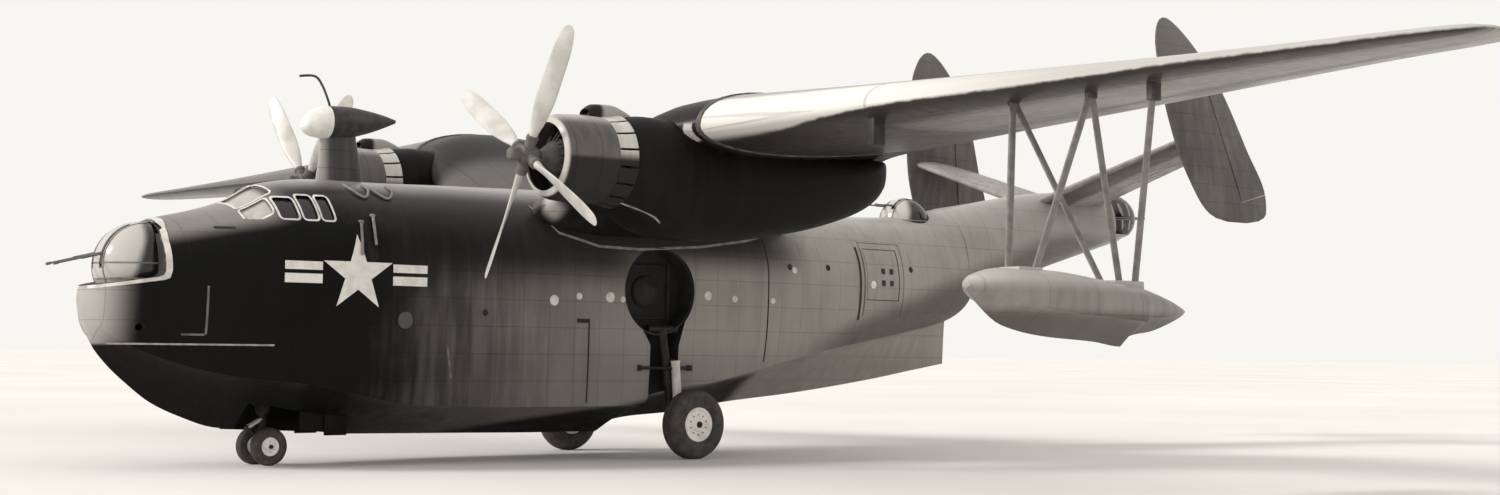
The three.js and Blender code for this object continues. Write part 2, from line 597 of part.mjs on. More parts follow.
// Floats: small stepped hulls under the outer wings
// Columns: station, keel z, chine half width, chine z, half width, shoulder z, deck z
const FLOAT = [
  [6630, 2680, 40, 2710, 60, 2740, 2790],
  [6780, 2540, 160, 2640, 200, 2740, 2880],
  [7280, 2240, 370, 2520, 410, 2720, 2975],
  [8060, 2110, 480, 2420, 510, 2660, 2970],
  [9060, 2050, 500, 2360, 520, 2600, 2885],
  [9620, 1990, 480, 2320, 500, 2560, 2830],
  [9650, 2070, 470, 2350, 490, 2560, 2828],
  [10330, 2220, 290, 2410, 320, 2530, 2690],
  [10800, 2370, 110, 2440, 130, 2500, 2560],
  [10960, 2440, 30, 2470, 40, 2490, 2510],
];
const floatLoft = (grow) => solid(loft(FLOAT.map((row) => hullRing(row, grow)))).translate([FLOAT_X, 0, 0]);
addPair('float', geometryOf(floatLoft(0)), WING_GREY);

// Float struts: five streamlined struts between three wing fittings and two float fittings
const WING_FITTING = { inner: [10700, 8900], middle: [12100, 8900], outer: [13150, 8900] };
const FITTING_Z = 5330;
const STRUT_RADIUS = 62;
const STRUTS = [
  ['inner', [11860, 7560]],
  ['inner', [11880, 9380]],
  ['middle', [12080, 7780]],
  ['middle', [12020, 9580]],
  ['outer', [12120, 9780]],
];
const FRONT_PAD = box(FLOAT_X - 200, FLOAT_X + 160, 7440, 7900, 2760, 3010);
const REAR_PAD = box(FLOAT_X - 190, FLOAT_X + 190, 9280, 9900, 2620, 2890);
const wingPads = Object.values(WING_FITTING)
  .map(([x, y]) => block(x - 70, x + 70, y - 130, y + 130, 5200, 5560));
const strutRods = STRUTS.map(([fitting, [x, y]]) =>
  solid(rod([...WING_FITTING[fitting], FITTING_Z], [x, y, 2850], STRUT_RADIUS, 8, 0.45)));
addPair('float_struts', geometryOf(
  cut(join(solid(FRONT_PAD), solid(REAR_PAD), ...wingPads, ...strutRods), floatLoft(FIT), wingAround),
), WING_GREY);

// Tail: tailplane with a sharp dihedral, fins that lean inwards on its tips
// Columns of the tailplane: x, leading edge station, chord, z
const TAIL_SLOPE = 0.307;
const tailZ = (x) => 5360 + (x - 800) * TAIL_SLOPE;
const TAILPLANE = [[120, 20960, 2120], [800, 21030, 2000], [3780, 21330, 1620]]
  .map((row) => [...row, tailZ(row[0])]);
const TAILPLANE_RATIO = 0.13;
// Columns of the fin: height, leading edge station, trailing edge station
const FIN = [
  [4660, 22480, 23150],
  [4720, 22130, 23560],
  [4880, 21830, 23860],
  [5270, 21540, 23930],
  [6240, 21130, 23510],
  [7160, 20960, 23090],
  [7700, 20920, 22780],
  [8200, 20930, 22330],
  [8600, 21030, 21880],
  [8800, 21180, 21560],
  [8850, 21290, 21430],
];
const FIN_LEAN = 0.172;
const FIN_TOP = { x: 3420, z: 8850 };
const FIN_RATIO = 0.1;
const finX = (z) => FIN_TOP.x + (FIN_TOP.z - z) * FIN_LEAN;
const finLoft = (grow) => solid(loft(FIN.map(([z, front, rear]) =>
  foilPoints(rear - front, FIN_RATIO, 0, grow).map(([a, b]) => [finX(z) + b, front + a, z]))));
const hingeY = (z) => 22460 + (7020 - z) * 0.239;
const RUDDER = { z0: 5060, z1: 7900, travel: 25 };
const rudderPoint = (z) => [finX(z), hingeY(z), z];
const finParts = hinged(
  finLoft(0), rudderPoint(RUDDER.z0), rudderPoint(RUDDER.z1), new THREE.Vector3(1, 0, 0), RUDDER.travel,
);
const tailLoft = solid(loft(TAILPLANE.map(([x, y, chord, z]) =>
  foilPoints(chord, TAILPLANE_RATIO, 0, 0).map(([a, b]) => [x, y + a, z + b]))));
const tailAround = hullSlice(HULL_TAIL, 18380, 24000, FIT);
const tailPanel = biggest(cut(tailLoft, tailAround, finLoft(FIT)));
const ELEVATOR = { x0: 900, x1: 3480, y0: 22330, y1: 22400, travel: 25 };
const elevatorPoint = (x, y) => [x, y, tailZ(x)];
// Behind the tailplane's tips the rudders swing inwards through a cut-out
const RUDDER_ROOM = { x0: 3560, y0: 22420 };
const tailParts = hinged(
  tailPanel.subtract(block(RUDDER_ROOM.x0, 4200, RUDDER_ROOM.y0, 24000, 5500, 7000)),
  elevatorPoint(ELEVATOR.x0, ELEVATOR.y0), elevatorPoint(ELEVATOR.x1, ELEVATOR.y1), UP, ELEVATOR.travel,
);
const TAIL_RIM_Z = 4600;
const tailCutaway = block(-1000, 1000, 23400, 25000, TAIL_RIM_Z, 6000);
add('hull_tail', geometryOf(
  cut(hullSlice(HULL_TAIL, 18380 + BUTT, 24000), tailCutaway, ball(TURRETS.tail, BALL_GAP, FIT)),
), NAVY);
addPair('tailplane', geometryOf(tailParts.fixed), NAVY);
addPair('elevator', geometryOf(tailParts.moving), NAVY);
addPair('fin', geometryOf(finParts.fixed), NAVY);
addPair('rudder', geometryOf(finParts.moving), NAVY);

for (const name of Object.keys(TURRETS)) addTurret(name);

// Wheels: a tyre on a hub that turns on its axle
const AXLE_CLEARANCE = 0.6;
function tyre({ radius, width, rim }, segments) {
  const half = width / 2;
  const wall = radius - rim;
  const profile = [
    [rim, -half * 0.72], [rim + wall * 0.45, -half], [radius - wall * 0.15, -half * 0.8],
    [radius, -half * 0.4], [radius, half * 0.4], [radius - wall * 0.15, half * 0.8],
    [rim + wall * 0.45, half], [rim, half * 0.72], [rim, -half * 0.72],
  ];
  return turnedWheel(profile, segments);
}
function hub({ width, rim }, axle, segments) {
  const half = width / 2;
  return turnedWheel([
    [axle, -half * 0.8], [rim * 0.45, -half * 0.8], [rim - FIT, -half * 0.6],
    [rim - FIT, half * 0.6], [rim * 0.45, half * 0.8], [axle, half * 0.8], [axle, -half * 0.8],
  ], segments);
}
const WHEEL_SIDES = 28;
const AXLE_SIDES = 12;
const MAIN_AXLE = 55;
const NOSE_AXLE = 32;
for (const [name, side] of Object.entries(SIDES)) {
  const place = [side * MAIN_WHEEL.x, MAIN_WHEEL.y, MAIN_WHEEL.radius];
  add(`main_tyre_${name}`, tyre(MAIN_WHEEL, WHEEL_SIDES), TYRE_BLACK, place);
  add(`main_hub_${name}`, hub(MAIN_WHEEL, MAIN_AXLE + AXLE_CLEARANCE, WHEEL_SIDES), WHITE, place);
  const nosePlace = [side * NOSE_WHEEL.x, NOSE_WHEEL.y, NOSE_WHEEL.radius];
  add(`nose_tyre_${name}`, tyre(NOSE_WHEEL, WHEEL_SIDES), TYRE_BLACK, nosePlace);
  add(`nose_hub_${name}`, hub(NOSE_WHEEL, NOSE_AXLE + AXLE_CLEARANCE, WHEEL_SIDES), WHITE, nosePlace);
}

// Main legs: an oleo strut in the well slot on a fore-and-aft trunnion, with a stub axle, a side
// brace and the lock bar along the hull side
const LEG = { x: 1390, topY: 9960, topZ: 2260, radius: 88, footX: 1420, kneeY: 10150 };
const onAxle = (x) => [x, MAIN_WHEEL.y, MAIN_WHEEL.radius];
const mainLeg = join(
  solid(rod([LEG.x, WELL.slotY0 + FIT, LEG.topZ], [LEG.x, WELL.slotY1 - FIT, LEG.topZ], 70, AXLE_SIDES)),
  solid(rod([LEG.x, LEG.topY, LEG.topZ], [LEG.footX, LEG.kneeY, 900], LEG.radius, AXLE_SIDES)),
  solid(rod([LEG.footX, LEG.kneeY, 960], [LEG.footX, MAIN_WHEEL.y, 560], 66, AXLE_SIDES)),
  solid(rod(onAxle(LEG.footX - 60), onAxle(2100), MAIN_AXLE, AXLE_SIDES)),
  solid(rod(onAxle(LEG.footX - 70), onAxle(1660), 95, AXLE_SIDES)),
  solid(rod([1545, 10120, 1720], [1560, MAIN_WHEEL.y - 30, 620], 42, 8)),
  solid(rod([LEG.x, 10040, 1700], [1560, 10130, 1700], 45, 8)),
);
addPair('main_leg', geometryOf(mainLeg), STEEL);

// Nose leg: fixed strut in the bay with a drag brace, and the steered fork with the axle below it
const NOSE_LEG = { split: 800, radius: 85, forkRadius: 62 };
const [noseY, noseZ] = [NOSE_WHEEL.y, NOSE_WHEEL.radius];
add('nose_leg', geometryOf(join(
  solid(rod([0, noseY, NOSE_LEG.split], [0, noseY, NOSE_BAY.roof - FIT], NOSE_LEG.radius, AXLE_SIDES)),
  solid(rod([-NOSE_BAY.halfWidth + FIT, noseY, 1290], [NOSE_BAY.halfWidth - FIT, noseY, 1290], 50, AXLE_SIDES)),
  solid(rod([-150, noseY, 900], [150, noseY, 900], 55, AXLE_SIDES)),
  ...Object.values(SIDES).map((side) => solid(rod([side * 120, noseY, 900], [side * 200, 2640, 1300], 30, 8))),
)), STEEL);
const forkTop = NOSE_LEG.split - FIT;
const linkRods = Object.values(SIDES).map((side) =>
  solid(rod([side * 45, noseY - 250, 600], [side * 30, noseY, 740], 26, 8)));
add('nose_fork', geometryOf(join(
  solid(rod([0, noseY, 250], [0, noseY, forkTop], NOSE_LEG.forkRadius, AXLE_SIDES)),
  solid(rod([-360, noseY, noseZ], [360, noseY, noseZ], NOSE_AXLE, AXLE_SIDES)),
  solid(rod([-45, noseY - 250, 600], [45, noseY - 250, 600], 30, 8)),
  solid(rod([0, noseY - 250, 600], [0, noseY, 400], 28, 8)),
  ...linkRods,
)), STEEL);

// Nose gear doors: open plates that hang from the edges of the bay
const DOOR_THICKNESS = 36;
const doorOuter = NOSE_BAY.halfWidth - FIT;
addPair('nose_gear_door', box(doorOuter - DOOR_THICKNESS, doorOuter, 3880, 4280, 470, 1000), NAVY);

export default boat;
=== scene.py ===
import math

import bmesh
import bpy
import numpy as np
from mathutils import Matrix, Vector


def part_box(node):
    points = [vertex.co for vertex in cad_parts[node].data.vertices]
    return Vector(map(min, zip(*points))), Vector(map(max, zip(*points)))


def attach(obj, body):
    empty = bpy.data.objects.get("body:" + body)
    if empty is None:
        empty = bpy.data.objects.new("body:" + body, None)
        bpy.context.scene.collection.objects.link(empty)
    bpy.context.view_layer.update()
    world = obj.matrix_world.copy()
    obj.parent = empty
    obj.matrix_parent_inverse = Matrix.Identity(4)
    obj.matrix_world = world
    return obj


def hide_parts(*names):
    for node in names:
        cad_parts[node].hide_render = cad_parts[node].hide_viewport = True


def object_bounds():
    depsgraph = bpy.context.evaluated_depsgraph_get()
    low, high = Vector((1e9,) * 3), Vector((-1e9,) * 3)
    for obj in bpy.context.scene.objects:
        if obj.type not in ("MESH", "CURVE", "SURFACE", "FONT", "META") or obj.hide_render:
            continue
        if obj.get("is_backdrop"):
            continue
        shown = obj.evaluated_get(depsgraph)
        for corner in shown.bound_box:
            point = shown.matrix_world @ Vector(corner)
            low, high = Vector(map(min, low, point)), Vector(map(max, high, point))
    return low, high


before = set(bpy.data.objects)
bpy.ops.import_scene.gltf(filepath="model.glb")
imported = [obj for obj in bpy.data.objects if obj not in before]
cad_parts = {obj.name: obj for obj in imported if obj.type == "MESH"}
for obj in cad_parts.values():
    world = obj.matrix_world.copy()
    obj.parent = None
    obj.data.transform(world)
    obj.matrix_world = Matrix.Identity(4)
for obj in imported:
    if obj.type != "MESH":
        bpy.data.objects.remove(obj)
cad_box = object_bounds()

# Camera: the place and direction that the photograph was taken from, ahead of the port wing at eye
# height. X points to port, Y runs aft and Z is up, and the tyres stand on Z = 0.
CAMERA_PLACE = (29.781, -23.982, 1.842)
YAW, PITCH, ROLL = (math.radians(a) for a in (39.948, 3.002, 0.589))
FOCAL_PIXELS, PHOTO_WIDTH = 2028.408, 1500
SENSOR_WIDTH, FARTHEST = 36, 3000


def put(name, data):
    """An object in the scene for a camera, a lamp or a mesh."""
    made = bpy.data.objects.new(name, data)
    bpy.context.scene.collection.objects.link(made)
    return made


camera = put("camera", bpy.data.cameras.new("camera"))
camera.data.sensor_width = SENSOR_WIDTH
camera.data.lens = SENSOR_WIDTH * FOCAL_PIXELS / PHOTO_WIDTH
camera.data.clip_end = FARTHEST
ahead = Vector((-math.cos(YAW) * math.cos(PITCH), math.sin(YAW) * math.cos(PITCH), math.sin(PITCH)))
level = Vector((math.sin(YAW), math.cos(YAW), 0))
upward = level.cross(ahead)
right = level * math.cos(ROLL) + upward * math.sin(ROLL)
above = upward * math.cos(ROLL) - level * math.sin(ROLL)
camera.matrix_world = Matrix.Translation(CAMERA_PLACE) @ Matrix((right, above, -ahead)).transposed().to_4x4()
bpy.context.scene.camera = camera

# Light: a bright hazy sky all round and a soft sun ahead of the starboard bow, so that the port side
# lies in the shade and the leading edges catch the light.
SKY = (0.93, 0.92, 0.88, 1)
SKY_STRENGTH = 1.0
SUN_STRENGTH, SUN_WIDTH, SUN_COLOUR = 2.4, 12, (1.0, 0.98, 0.94)
SUN_FROM = (-0.40, -0.80, 0.50)
world = bpy.data.worlds.new("sky")
world.use_nodes = True
world.node_tree.nodes["Background"].inputs["Color"].default_value = SKY
world.node_tree.nodes["Background"].inputs["Strength"].default_value = SKY_STRENGTH
bpy.context.scene.world = world
bpy.context.scene.view_settings.view_transform = "Standard"
sun = put("sun", bpy.data.lights.new("sun", "SUN"))
sun.data.energy = SUN_STRENGTH
sun.data.angle = math.radians(SUN_WIDTH)
sun.data.color = SUN_COLOUR
sun.rotation_euler = Vector(SUN_FROM).to_track_quat("Z", "Y").to_euler()


# Floor: the pale apron, out to the horizon. Its finish also brings in the class that writes shader
# maths as Python expressions.
class Field:
    """A value that changes over a surface. Operators on it add Math nodes to its finish."""

    def __init__(self, tree, socket):
        self.tree = tree
        self.socket = socket

    def node(self, kind, settings, values, output=0):
        made = self.tree.nodes.new("ShaderNode" + kind)
        for name, value in settings.items():
            setattr(made, name, value)
        for name, value in values.items():
            self.feed(made.inputs[name], value)
        return Field(self.tree, made.outputs[output])

    def feed(self, target, value):
        if isinstance(value, Field):
            self.tree.links.new(value.socket, target)
        else:
            target.default_value = value

    def maths(self, operation, *values):
        return self.node("Math", {"operation": operation}, dict(enumerate((self, *values))))

    def __add__(self, other):
        return self.maths("ADD", other)

    def __sub__(self, other):
        return self.maths("SUBTRACT", other)

    def __rsub__(self, other):
        return self * -1 + other

    def __mul__(self, other):
        return self.maths("MULTIPLY", other)

    def __abs__(self):
        return self.maths("ABSOLUTE")

    __radd__ = __add__
    __rmul__ = __mul__

    def smooth(self, low, high):
        """0 below low and 1 above high, eased between them."""
        values = {"Value": self, "From Min": low, "From Max": high}
        return self.node("MapRange", {"interpolation_type": "SMOOTHSTEP"}, values)

    def parts(self):
        return [self.node("SeparateXYZ", {}, {0: self}, k) for k in range(3)]

    def stretched(self, *scale):
        return self.node("VectorMath", {"operation": "MULTIPLY"}, {0: self, 1: scale})

    def noise(self, scale, detail=4, roughness=0.55):
        values = {"Vector": self, "Scale": scale, "Detail": detail, "Roughness": roughness}
        return self.node("TexNoise", {}, values)

    def mixed(self, first, second):
        """The first colour where this is 0 and the second where it is 1."""
        return self.node("Mix", {"data_type": "RGBA"}, {0: self, 6: first, 7: second}, 2)

    def seams(self, spacing, width):
        """Thin lines, 1 on the line, each spacing apart."""
        near = abs((self * (1 / spacing) + 0.5).maths("FRACT") - 0.5)
        return 1 - (near * spacing).smooth(width / 2, width)


def tone(grey, warmth=0.06):
    """A warm grey as a shader colour, from its lightness."""
    return (grey * (1 + warmth), grey, grey * (1 - warmth), 1)


def new_finish(name, **constants):
    """A material, its shader, and the place on the piece as a field."""
    material = bpy.data.materials.new(name)
    material.use_nodes = True
    shader = material.node_tree.nodes["Principled BSDF"]
    for socket, value in constants.items():
        shader.inputs[socket.replace("_", " ")].default_value = value
    place = Field(material.node_tree, material.node_tree.nodes.new("ShaderNodeTexCoord").outputs["Object"])
    return material, shader, place


def lay(shader, colour, roughness, height=None, depth=0.002):
    """Colour, roughness and relief of a finish."""
    colour.feed(shader.inputs["Base Color"], colour)
    colour.feed(shader.inputs["Roughness"], roughness)
    if height is not None:
        bump = height.node("Bump", {}, {"Strength": 1.0, "Distance": depth, "Height": height})
        height.feed(shader.inputs["Normal"], bump)


MERGE_WITHIN = 1e-5


def new_piece(name, points, faces):
    """A mesh object with merged points and faces that point outwards."""
    mesh = bpy.data.meshes.new(name)
    mesh.from_pydata([tuple(map(float, p)) for p in points], [], faces)
    work = bmesh.new()
    work.from_mesh(mesh)
    bmesh.ops.remove_doubles(work, verts=work.verts, dist=MERGE_WITHIN)
    bmesh.ops.recalc_face_normals(work, faces=work.faces)
    work.to_mesh(mesh)
    work.free()
    return put(name, mesh)


FLOOR_HALF = 1500
floor_finish, shader, place = new_finish("apron")
patches = place.noise(0.05, 5)
lay(shader, patches.smooth(0.3, 0.7).mixed(tone(0.68, 0.035), tone(0.75, 0.03)), 0.9 - patches * 0.1)
floor_corners = [(x * FLOOR_HALF, y * FLOOR_HALF, 0) for x, y in ((-1, -1), (1, -1), (1, 1), (-1, 1))]
floor = new_piece("floor", floor_corners, [(0, 1, 2, 3)])
floor.data.materials.append(floor_finish)
floor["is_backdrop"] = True

# Hull: riveted aluminium skin over frames, a V bottom with a hard chine, slab sides and a round
# roof. One skin from the bow to the afterbody's post, with its bays and openings cut out of it.
# Columns: station, keel, chine half width, chine height, side half width, shoulder, top
HULL = [
    (0.06, 2.35, 0.12, 2.44, 0.20, 2.56, 2.76),
    (0.18, 1.96, 0.33, 2.18, 0.47, 2.64, 3.06),
    (0.43, 1.62, 0.56, 1.96, 0.74, 2.76, 3.42),
    (0.79, 1.29, 0.76, 1.76, 0.96, 2.90, 3.70),
    (1.18, 1.00, 0.92, 1.62, 1.14, 3.00, 3.85),
    (1.64, 0.79, 1.08, 1.49, 1.29, 3.06, 3.96),
    (2.21, 0.61, 1.24, 1.39, 1.41, 3.12, 4.13),
    (2.90, 0.545, 1.35, 1.33, 1.48, 3.18, 4.48),
    (3.72, 0.48, 1.42, 1.19, 1.51, 3.22, 4.595),
    (5.00, 0.465, 1.45, 0.97, 1.52, 3.26, 4.61),
    (6.53, 0.45, 1.455, 0.92, 1.52, 3.28, 4.65),
    (8.37, 0.43, 1.455, 0.92, 1.52, 3.28, 4.68),
    (9.56, 0.43, 1.45, 0.925, 1.52, 3.28, 4.68),
    (9.60, 0.55, 1.44, 1.02, 1.52, 3.28, 4.68),
    (11.30, 0.77, 1.38, 1.35, 1.51, 3.25, 4.64),
    (12.60, 0.94, 1.29, 1.62, 1.48, 3.22, 4.60),
    (14.19, 1.09, 1.08, 1.93, 1.37, 3.20, 4.57),
    (16.33, 1.36, 0.64, 2.23, 1.16, 3.25, 4.62),
    (17.60, 1.56, 0.30, 2.42, 1.01, 3.35, 4.78),
    (18.38, 1.68, 0.06, 2.56, 0.92, 3.45, 4.93),
]
TAIL_CONE = [
    (18.20, 2.60, 0.31, 2.70, 0.94, 3.54, 4.90),
    (19.14, 3.08, 0.38, 3.18, 0.83, 3.85, 5.06),
    (20.11, 3.36, 0.36, 3.46, 0.74, 4.08, 5.23),
    (21.32, 3.74, 0.32, 3.83, 0.63, 4.36, 5.40),
    (22.50, 4.07, 0.27, 4.15, 0.52, 4.60, 5.48),
    (24.00, 4.48, 0.20, 4.56, 0.40, 4.80, 5.45),
]
# Where station 0 lies on Y
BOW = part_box("hull_bow")[0].y - HULL[0][0]


def smooth_rows(rows, step):
    """Rows at close steps of their first column, on curves that never overshoot the given rows."""
    rows = np.array(rows, float)
    gaps = np.diff(rows[:, 0])
    slopes = np.diff(rows, axis=0) / gaps[:, None]
    tangents = np.vstack([slopes[0], np.zeros_like(slopes[1:]), slopes[-1]])
    for i in range(1, len(gaps)):
        steady = slopes[i - 1] * slopes[i] > 1e-12
        before, after = gaps[i] + 2 * gaps[i - 1], 2 * gaps[i] + gaps[i - 1]
        weights = after / slopes[i - 1][steady] + before / slopes[i][steady]
        tangents[i][steady] = (before + after) / weights
    out = []
    for i, gap in enumerate(gaps):
        count = max(1, math.ceil(gap / step))
        for t in np.arange(count) / count:
            start = rows[i] * (1 + 2 * t) * (1 - t) ** 2 + tangents[i] * gap * t * (1 - t) ** 2
            end = rows[i + 1] * t * t * (3 - 2 * t) + tangents[i + 1] * gap * t * t * (t - 1)
            out.append(start + end)
    return out + [rows[-1]]


def bend(a, middle, b, steps):
    """Points on the parabola through a, middle and b, without the last."""
    a, middle, b = (np.array(p, float) for p in (a, middle, b))
    control = 2 * middle - (a + b) / 2
    return [a * (1 - t) ** 2 + 2 * control * t * (1 - t) + b * t * t for t in np.arange(steps) / steps]


def hull_half(row, grow=0.0):
    """Half section of a hull or float from keel to top, as points (x, z)."""
    _, keel, chine_x, chine_z, side_x, shoulder, top = row
    chine = (chine_x + grow, chine_z - grow)
    side = (side_x + grow, shoulder)
    bilge = (chine_x * 0.62 + grow, keel + (chine_z - keel) * 0.78 - grow)
    waist = (chine_x + (side_x - chine_x) * 0.75 + grow, chine_z + (shoulder - chine_z) * 0.4)
    half = bend((0, keel - grow), bilge, chine, 6) + bend(chine, waist, side, 9)
    for turn in np.linspace(0, math.pi / 2, 17):
        half.append((side[0] * math.cos(turn), shoulder + (top + grow - shoulder) * math.sin(turn)))
    return half


def hull_ring(row, grow=0.0):
    half = hull_half(row, grow)
    port = [(x, BOW + row[0], z) for x, z in half]
    return port + [(-x, y, z) for x, y, z in reversed(port[1:-1])]


def loft(name, rings):
    """A closed skin over rings of equal point counts, flat at both ends."""
    count = len(rings[0])
    faces = [tuple(range(count)), tuple(range((len(rings) - 1) * count, len(rings) * count))]
    for r in range(len(rings) - 1):
        for i in range(count):
            j = (i + 1) % count
            faces.append((r * count + i, r * count + j, (r + 1) * count + j, (r + 1) * count + i))
    return new_piece(name, [p for ring in rings for p in ring], faces)


def block(name, low, high):
    """A box from its lowest and highest corner, with y as a station."""
    (x0, y0, z0), (x1, y1, z1) = low, high
    ring = [(x0, z0), (x1, z0), (x1, z1), (x0, z1)]
    return loft(name, [[(x, BOW + y, z) for x, z in ring] for y in (y0, y1)])


def ball(name, centre, radius, segments=64):
    """A sphere about a centre whose y is a station."""
    work = bmesh.new()
    bmesh.ops.create_uvsphere(work, u_segments=segments, v_segments=segments // 2, radius=radius)
    mesh = bpy.data.meshes.new(name)
    work.to_mesh(mesh)
    work.free()
    mesh.transform(Matrix.Translation((centre[0], BOW + centre[1], centre[2])))
    return put(name, mesh)


def settle(piece):
    """Apply a piece's modifiers to its mesh."""
    bpy.context.view_layer.update()
    flat = bpy.data.meshes.new_from_object(piece.evaluated_get(bpy.context.evaluated_depsgraph_get()))
    piece.modifiers.clear()
    piece.data = flat


def carve(piece, *steps):
    """Cut or keep parts of a piece with other solids, which are used up."""
    for operation, cutter in steps:
        modifier = piece.modifiers.new("cut", "BOOLEAN")
        modifier.solver = "MANIFOLD"
        modifier.operation = operation
        modifier.material_mode = "TRANSFER"
        modifier.object = cutter
    settle(piece)
    for _, cutter in steps:
        bpy.data.objects.remove(cutter)
    return piece


def fit(piece, body, slot, finish, *nodes, edge=32):
    """Paint a piece, smooth it up to an edge angle, and set it on its body in place of nodes."""
    if not any(piece.data.materials):
        piece.data.materials.clear()
        piece.data.materials.append(finish)
    piece.data.shade_smooth()
    piece.data.set_sharp_from_angle(angle=math.radians(edge))
    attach(piece, body)
    if nodes:
        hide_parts(*nodes)
    return piece


def paint(name, colour_of, roughness=0.42, coat=1.0, seams=(0.52, 0.45), lines=0.4):
    """Aged satin paint on riveted sheet: clouds, streaks, seams between the sheets and rivets."""
    material, shader, place = new_finish(name, Specular_IOR_Level=0.1, Coat_IOR=1.25, Coat_Roughness=0.25)
    _, y, z = place.parts()
    place.feed(shader.inputs["Coat Weight"], coat(z) if callable(coat) else coat)
    clouds = place.noise(0.8, 6)
    streaks = place.stretched(3.5, 3.5, 0.35).noise(1.6, 5)
    grime = (clouds * 0.5 + streaks * 0.5).smooth(0.38, 0.66)
    colour = colour_of(place, grime)
    relief = clouds * 0.3
    if lines:
        frames, stringers = y.seams(seams[0], 0.008), z.seams(seams[1], 0.006)
        rivets = y.seams(seams[0] / 2, 0.012) * z.seams(0.06, 0.02)
        sheet = frames.maths("MAXIMUM", stringers)
        colour = (sheet * lines).mixed(colour, tone(0.008))
        relief = relief - sheet * 1.2 + rivets * 0.5
    lay(shader, colour, roughness + grime * 0.18, relief, 0.0035)
    return material


def hull_colour(place, grime):
    """Near black forward and grey aft, with painted shade under the wing, aft and on the belly, and painted
    highlights on top.
    """
    _, y, z = place.parts()
    aft = y - BOW
    middle = (y + grime * 1.0).smooth(BOW + 4.2, BOW + 11.3)
    lightened = middle.mixed(tone(0.0035), tone(0.32, 0.078))
    worn = (grime * 0.3 * middle).mixed(lightened, tone(0.17, 0.08))
    # Painted shadow of the wing on the hull's side: a band high up, and a lower one just below the wing.
    high = z.smooth(3.15, 3.75) * (1 - aft.smooth(12.2, 13.8)) * aft.smooth(3.5, 5.5)
    wing_shadow = z.smooth(2.75, 3.45) * (1 - aft.smooth(8.6, 10.4)) * aft.smooth(3.5, 5.5)
    shade = (high.maths("MAXIMUM", wing_shadow) * 0.86).mixed(worn, tone(0.009))
    # Painted shade on the afterbody's side, between the chine and a line that rises aft, and a plain
    # darkening low down amidships.
    shade_line = 1 - (z - aft * 0.315).smooth(-2.45, -1.95)
    side = shade_line * aft.smooth(13.0, 15.0) * (z - aft * 0.15).smooth(-0.23, -0.17)
    low = (1 - z.smooth(1.5, 2.2)) * aft.smooth(5, 8) * 0.3
    shade_and_low_dark = ((side + low) * 0.75).mixed(shade, tone(0.075, 0.08))
    # Painted shade: the belly below the chine near black along the middle of the hull.
    belly_shade = (1 - (z - (aft - 10) * 0.16).smooth(1.0, 1.15)) * (1 - aft.smooth(12.4, 12.8)) * aft.smooth(4, 6)
    below = belly_shade.mixed(shade_and_low_dark, tone(0.003))
    # Painted highlights on the roof and on the top of the bow ahead of the canopy.
    nose = (z - aft * 0.2).smooth(3.15, 3.42) * (1 - aft.smooth(2.4, 3.1))
    roof = z.smooth(4.3, 4.62) * 0.8 + nose * 0.6
    roof_lit = roof.maths("MINIMUM", 0.8).mixed(below, tone(0.34, 0.06))
    # Painted highlight on the prow above the chine.
    prow_highlight = (1 - aft.smooth(0.1, 0.66)) * z.smooth(1.86, 1.92) * 0.9
    return prow_highlight.mixed(roof_lit, tone(0.40, 0.06))


def hull_sheen(z):
    """Polished on the roof and dull low down."""
    return z.smooth(3.6, 4.4) * 0.85 + 0.05


hull_paint = paint("hull_paint", hull_colour, 0.5, hull_sheen, lines=0.16)
# Inner faces of the bays and openings cut in the skin: near black as painted shade in the recesses, with a
# little dust.
bay_shade, shader, place = new_finish("bay_shade")
dust = place.noise(3, 5)
lay(shader, dust.smooth(0.35, 0.7).mixed(tone(0.006), tone(0.02)), 0.7 + dust * 0.2)

BOW_RIM, RIM_RISE, ARCH_FOOT, ARCH_HEAD = 2.75, 0.18, 0.94, 1.06
ARCH_TOP, AHEAD_OF_BOW = 4.3, -0.5
# The trunnion's height counts from the ball's middle, the foot's down from it. Droop is the guns' angle
# at rest and travel their range, in degrees, and ahead is 1 where the guns face the bow.
TURRETS = {
    "bow": {
        "station": 0.95, "height": 3.08, "radius": 0.69, "foot": 0.33, "trunnion": 0.34, "gun_x": 0.15,
        "gun": 0.027, "droop": 14, "reach": 1.39, "ahead": 1, "travel": (-10, 55),
    },
    "dorsal": {
        "station": 17.22, "height": 4.54, "radius": 0.52, "foot": 0.20, "trunnion": 0.34, "gun_x": 0.12,
        "gun": 0.025, "droop": 0, "reach": 0.90, "ahead": 1, "travel": (-2, 70),
    },
    "tail": {
        "station": 23.78, "height": 4.96, "radius": 0.52, "foot": 0.36, "trunnion": 0.06, "gun_x": 0.11,
        "gun": 0.024, "droop": 0, "reach": 1.0196, "ahead": -1, "travel": (-25, 35),
    },
}
# A ball turns free of its seat, and a fixed piece leaves a hair's gap to what it is set in.
BALL_GAP, HAIR = 0.022, 0.0003
COCKPIT = {"start": 2.08, "end": 4.20, "floor": 2.70, "wall": 0.07}
CANOPY = {"start": 2.08, "end": 3.62, "sill": 3.76}
NOSE_BAY = {"half_width": 0.52, "start": 2.56, "end": 4.30, "roof": 1.38}
WELL = {
    "station": 9.83, "height": 2.92, "radius": 0.77, "depth": 0.47, "slot": (9.64, 10.28), "slot_top": 2.5,
    "funnel": [(9.27, 2.52), (9.64, 1.98), (10.28, 1.98), (10.44, 2.54)],
}
WELL_FLOOR = max(row[4] for row in HULL) - WELL["depth"]
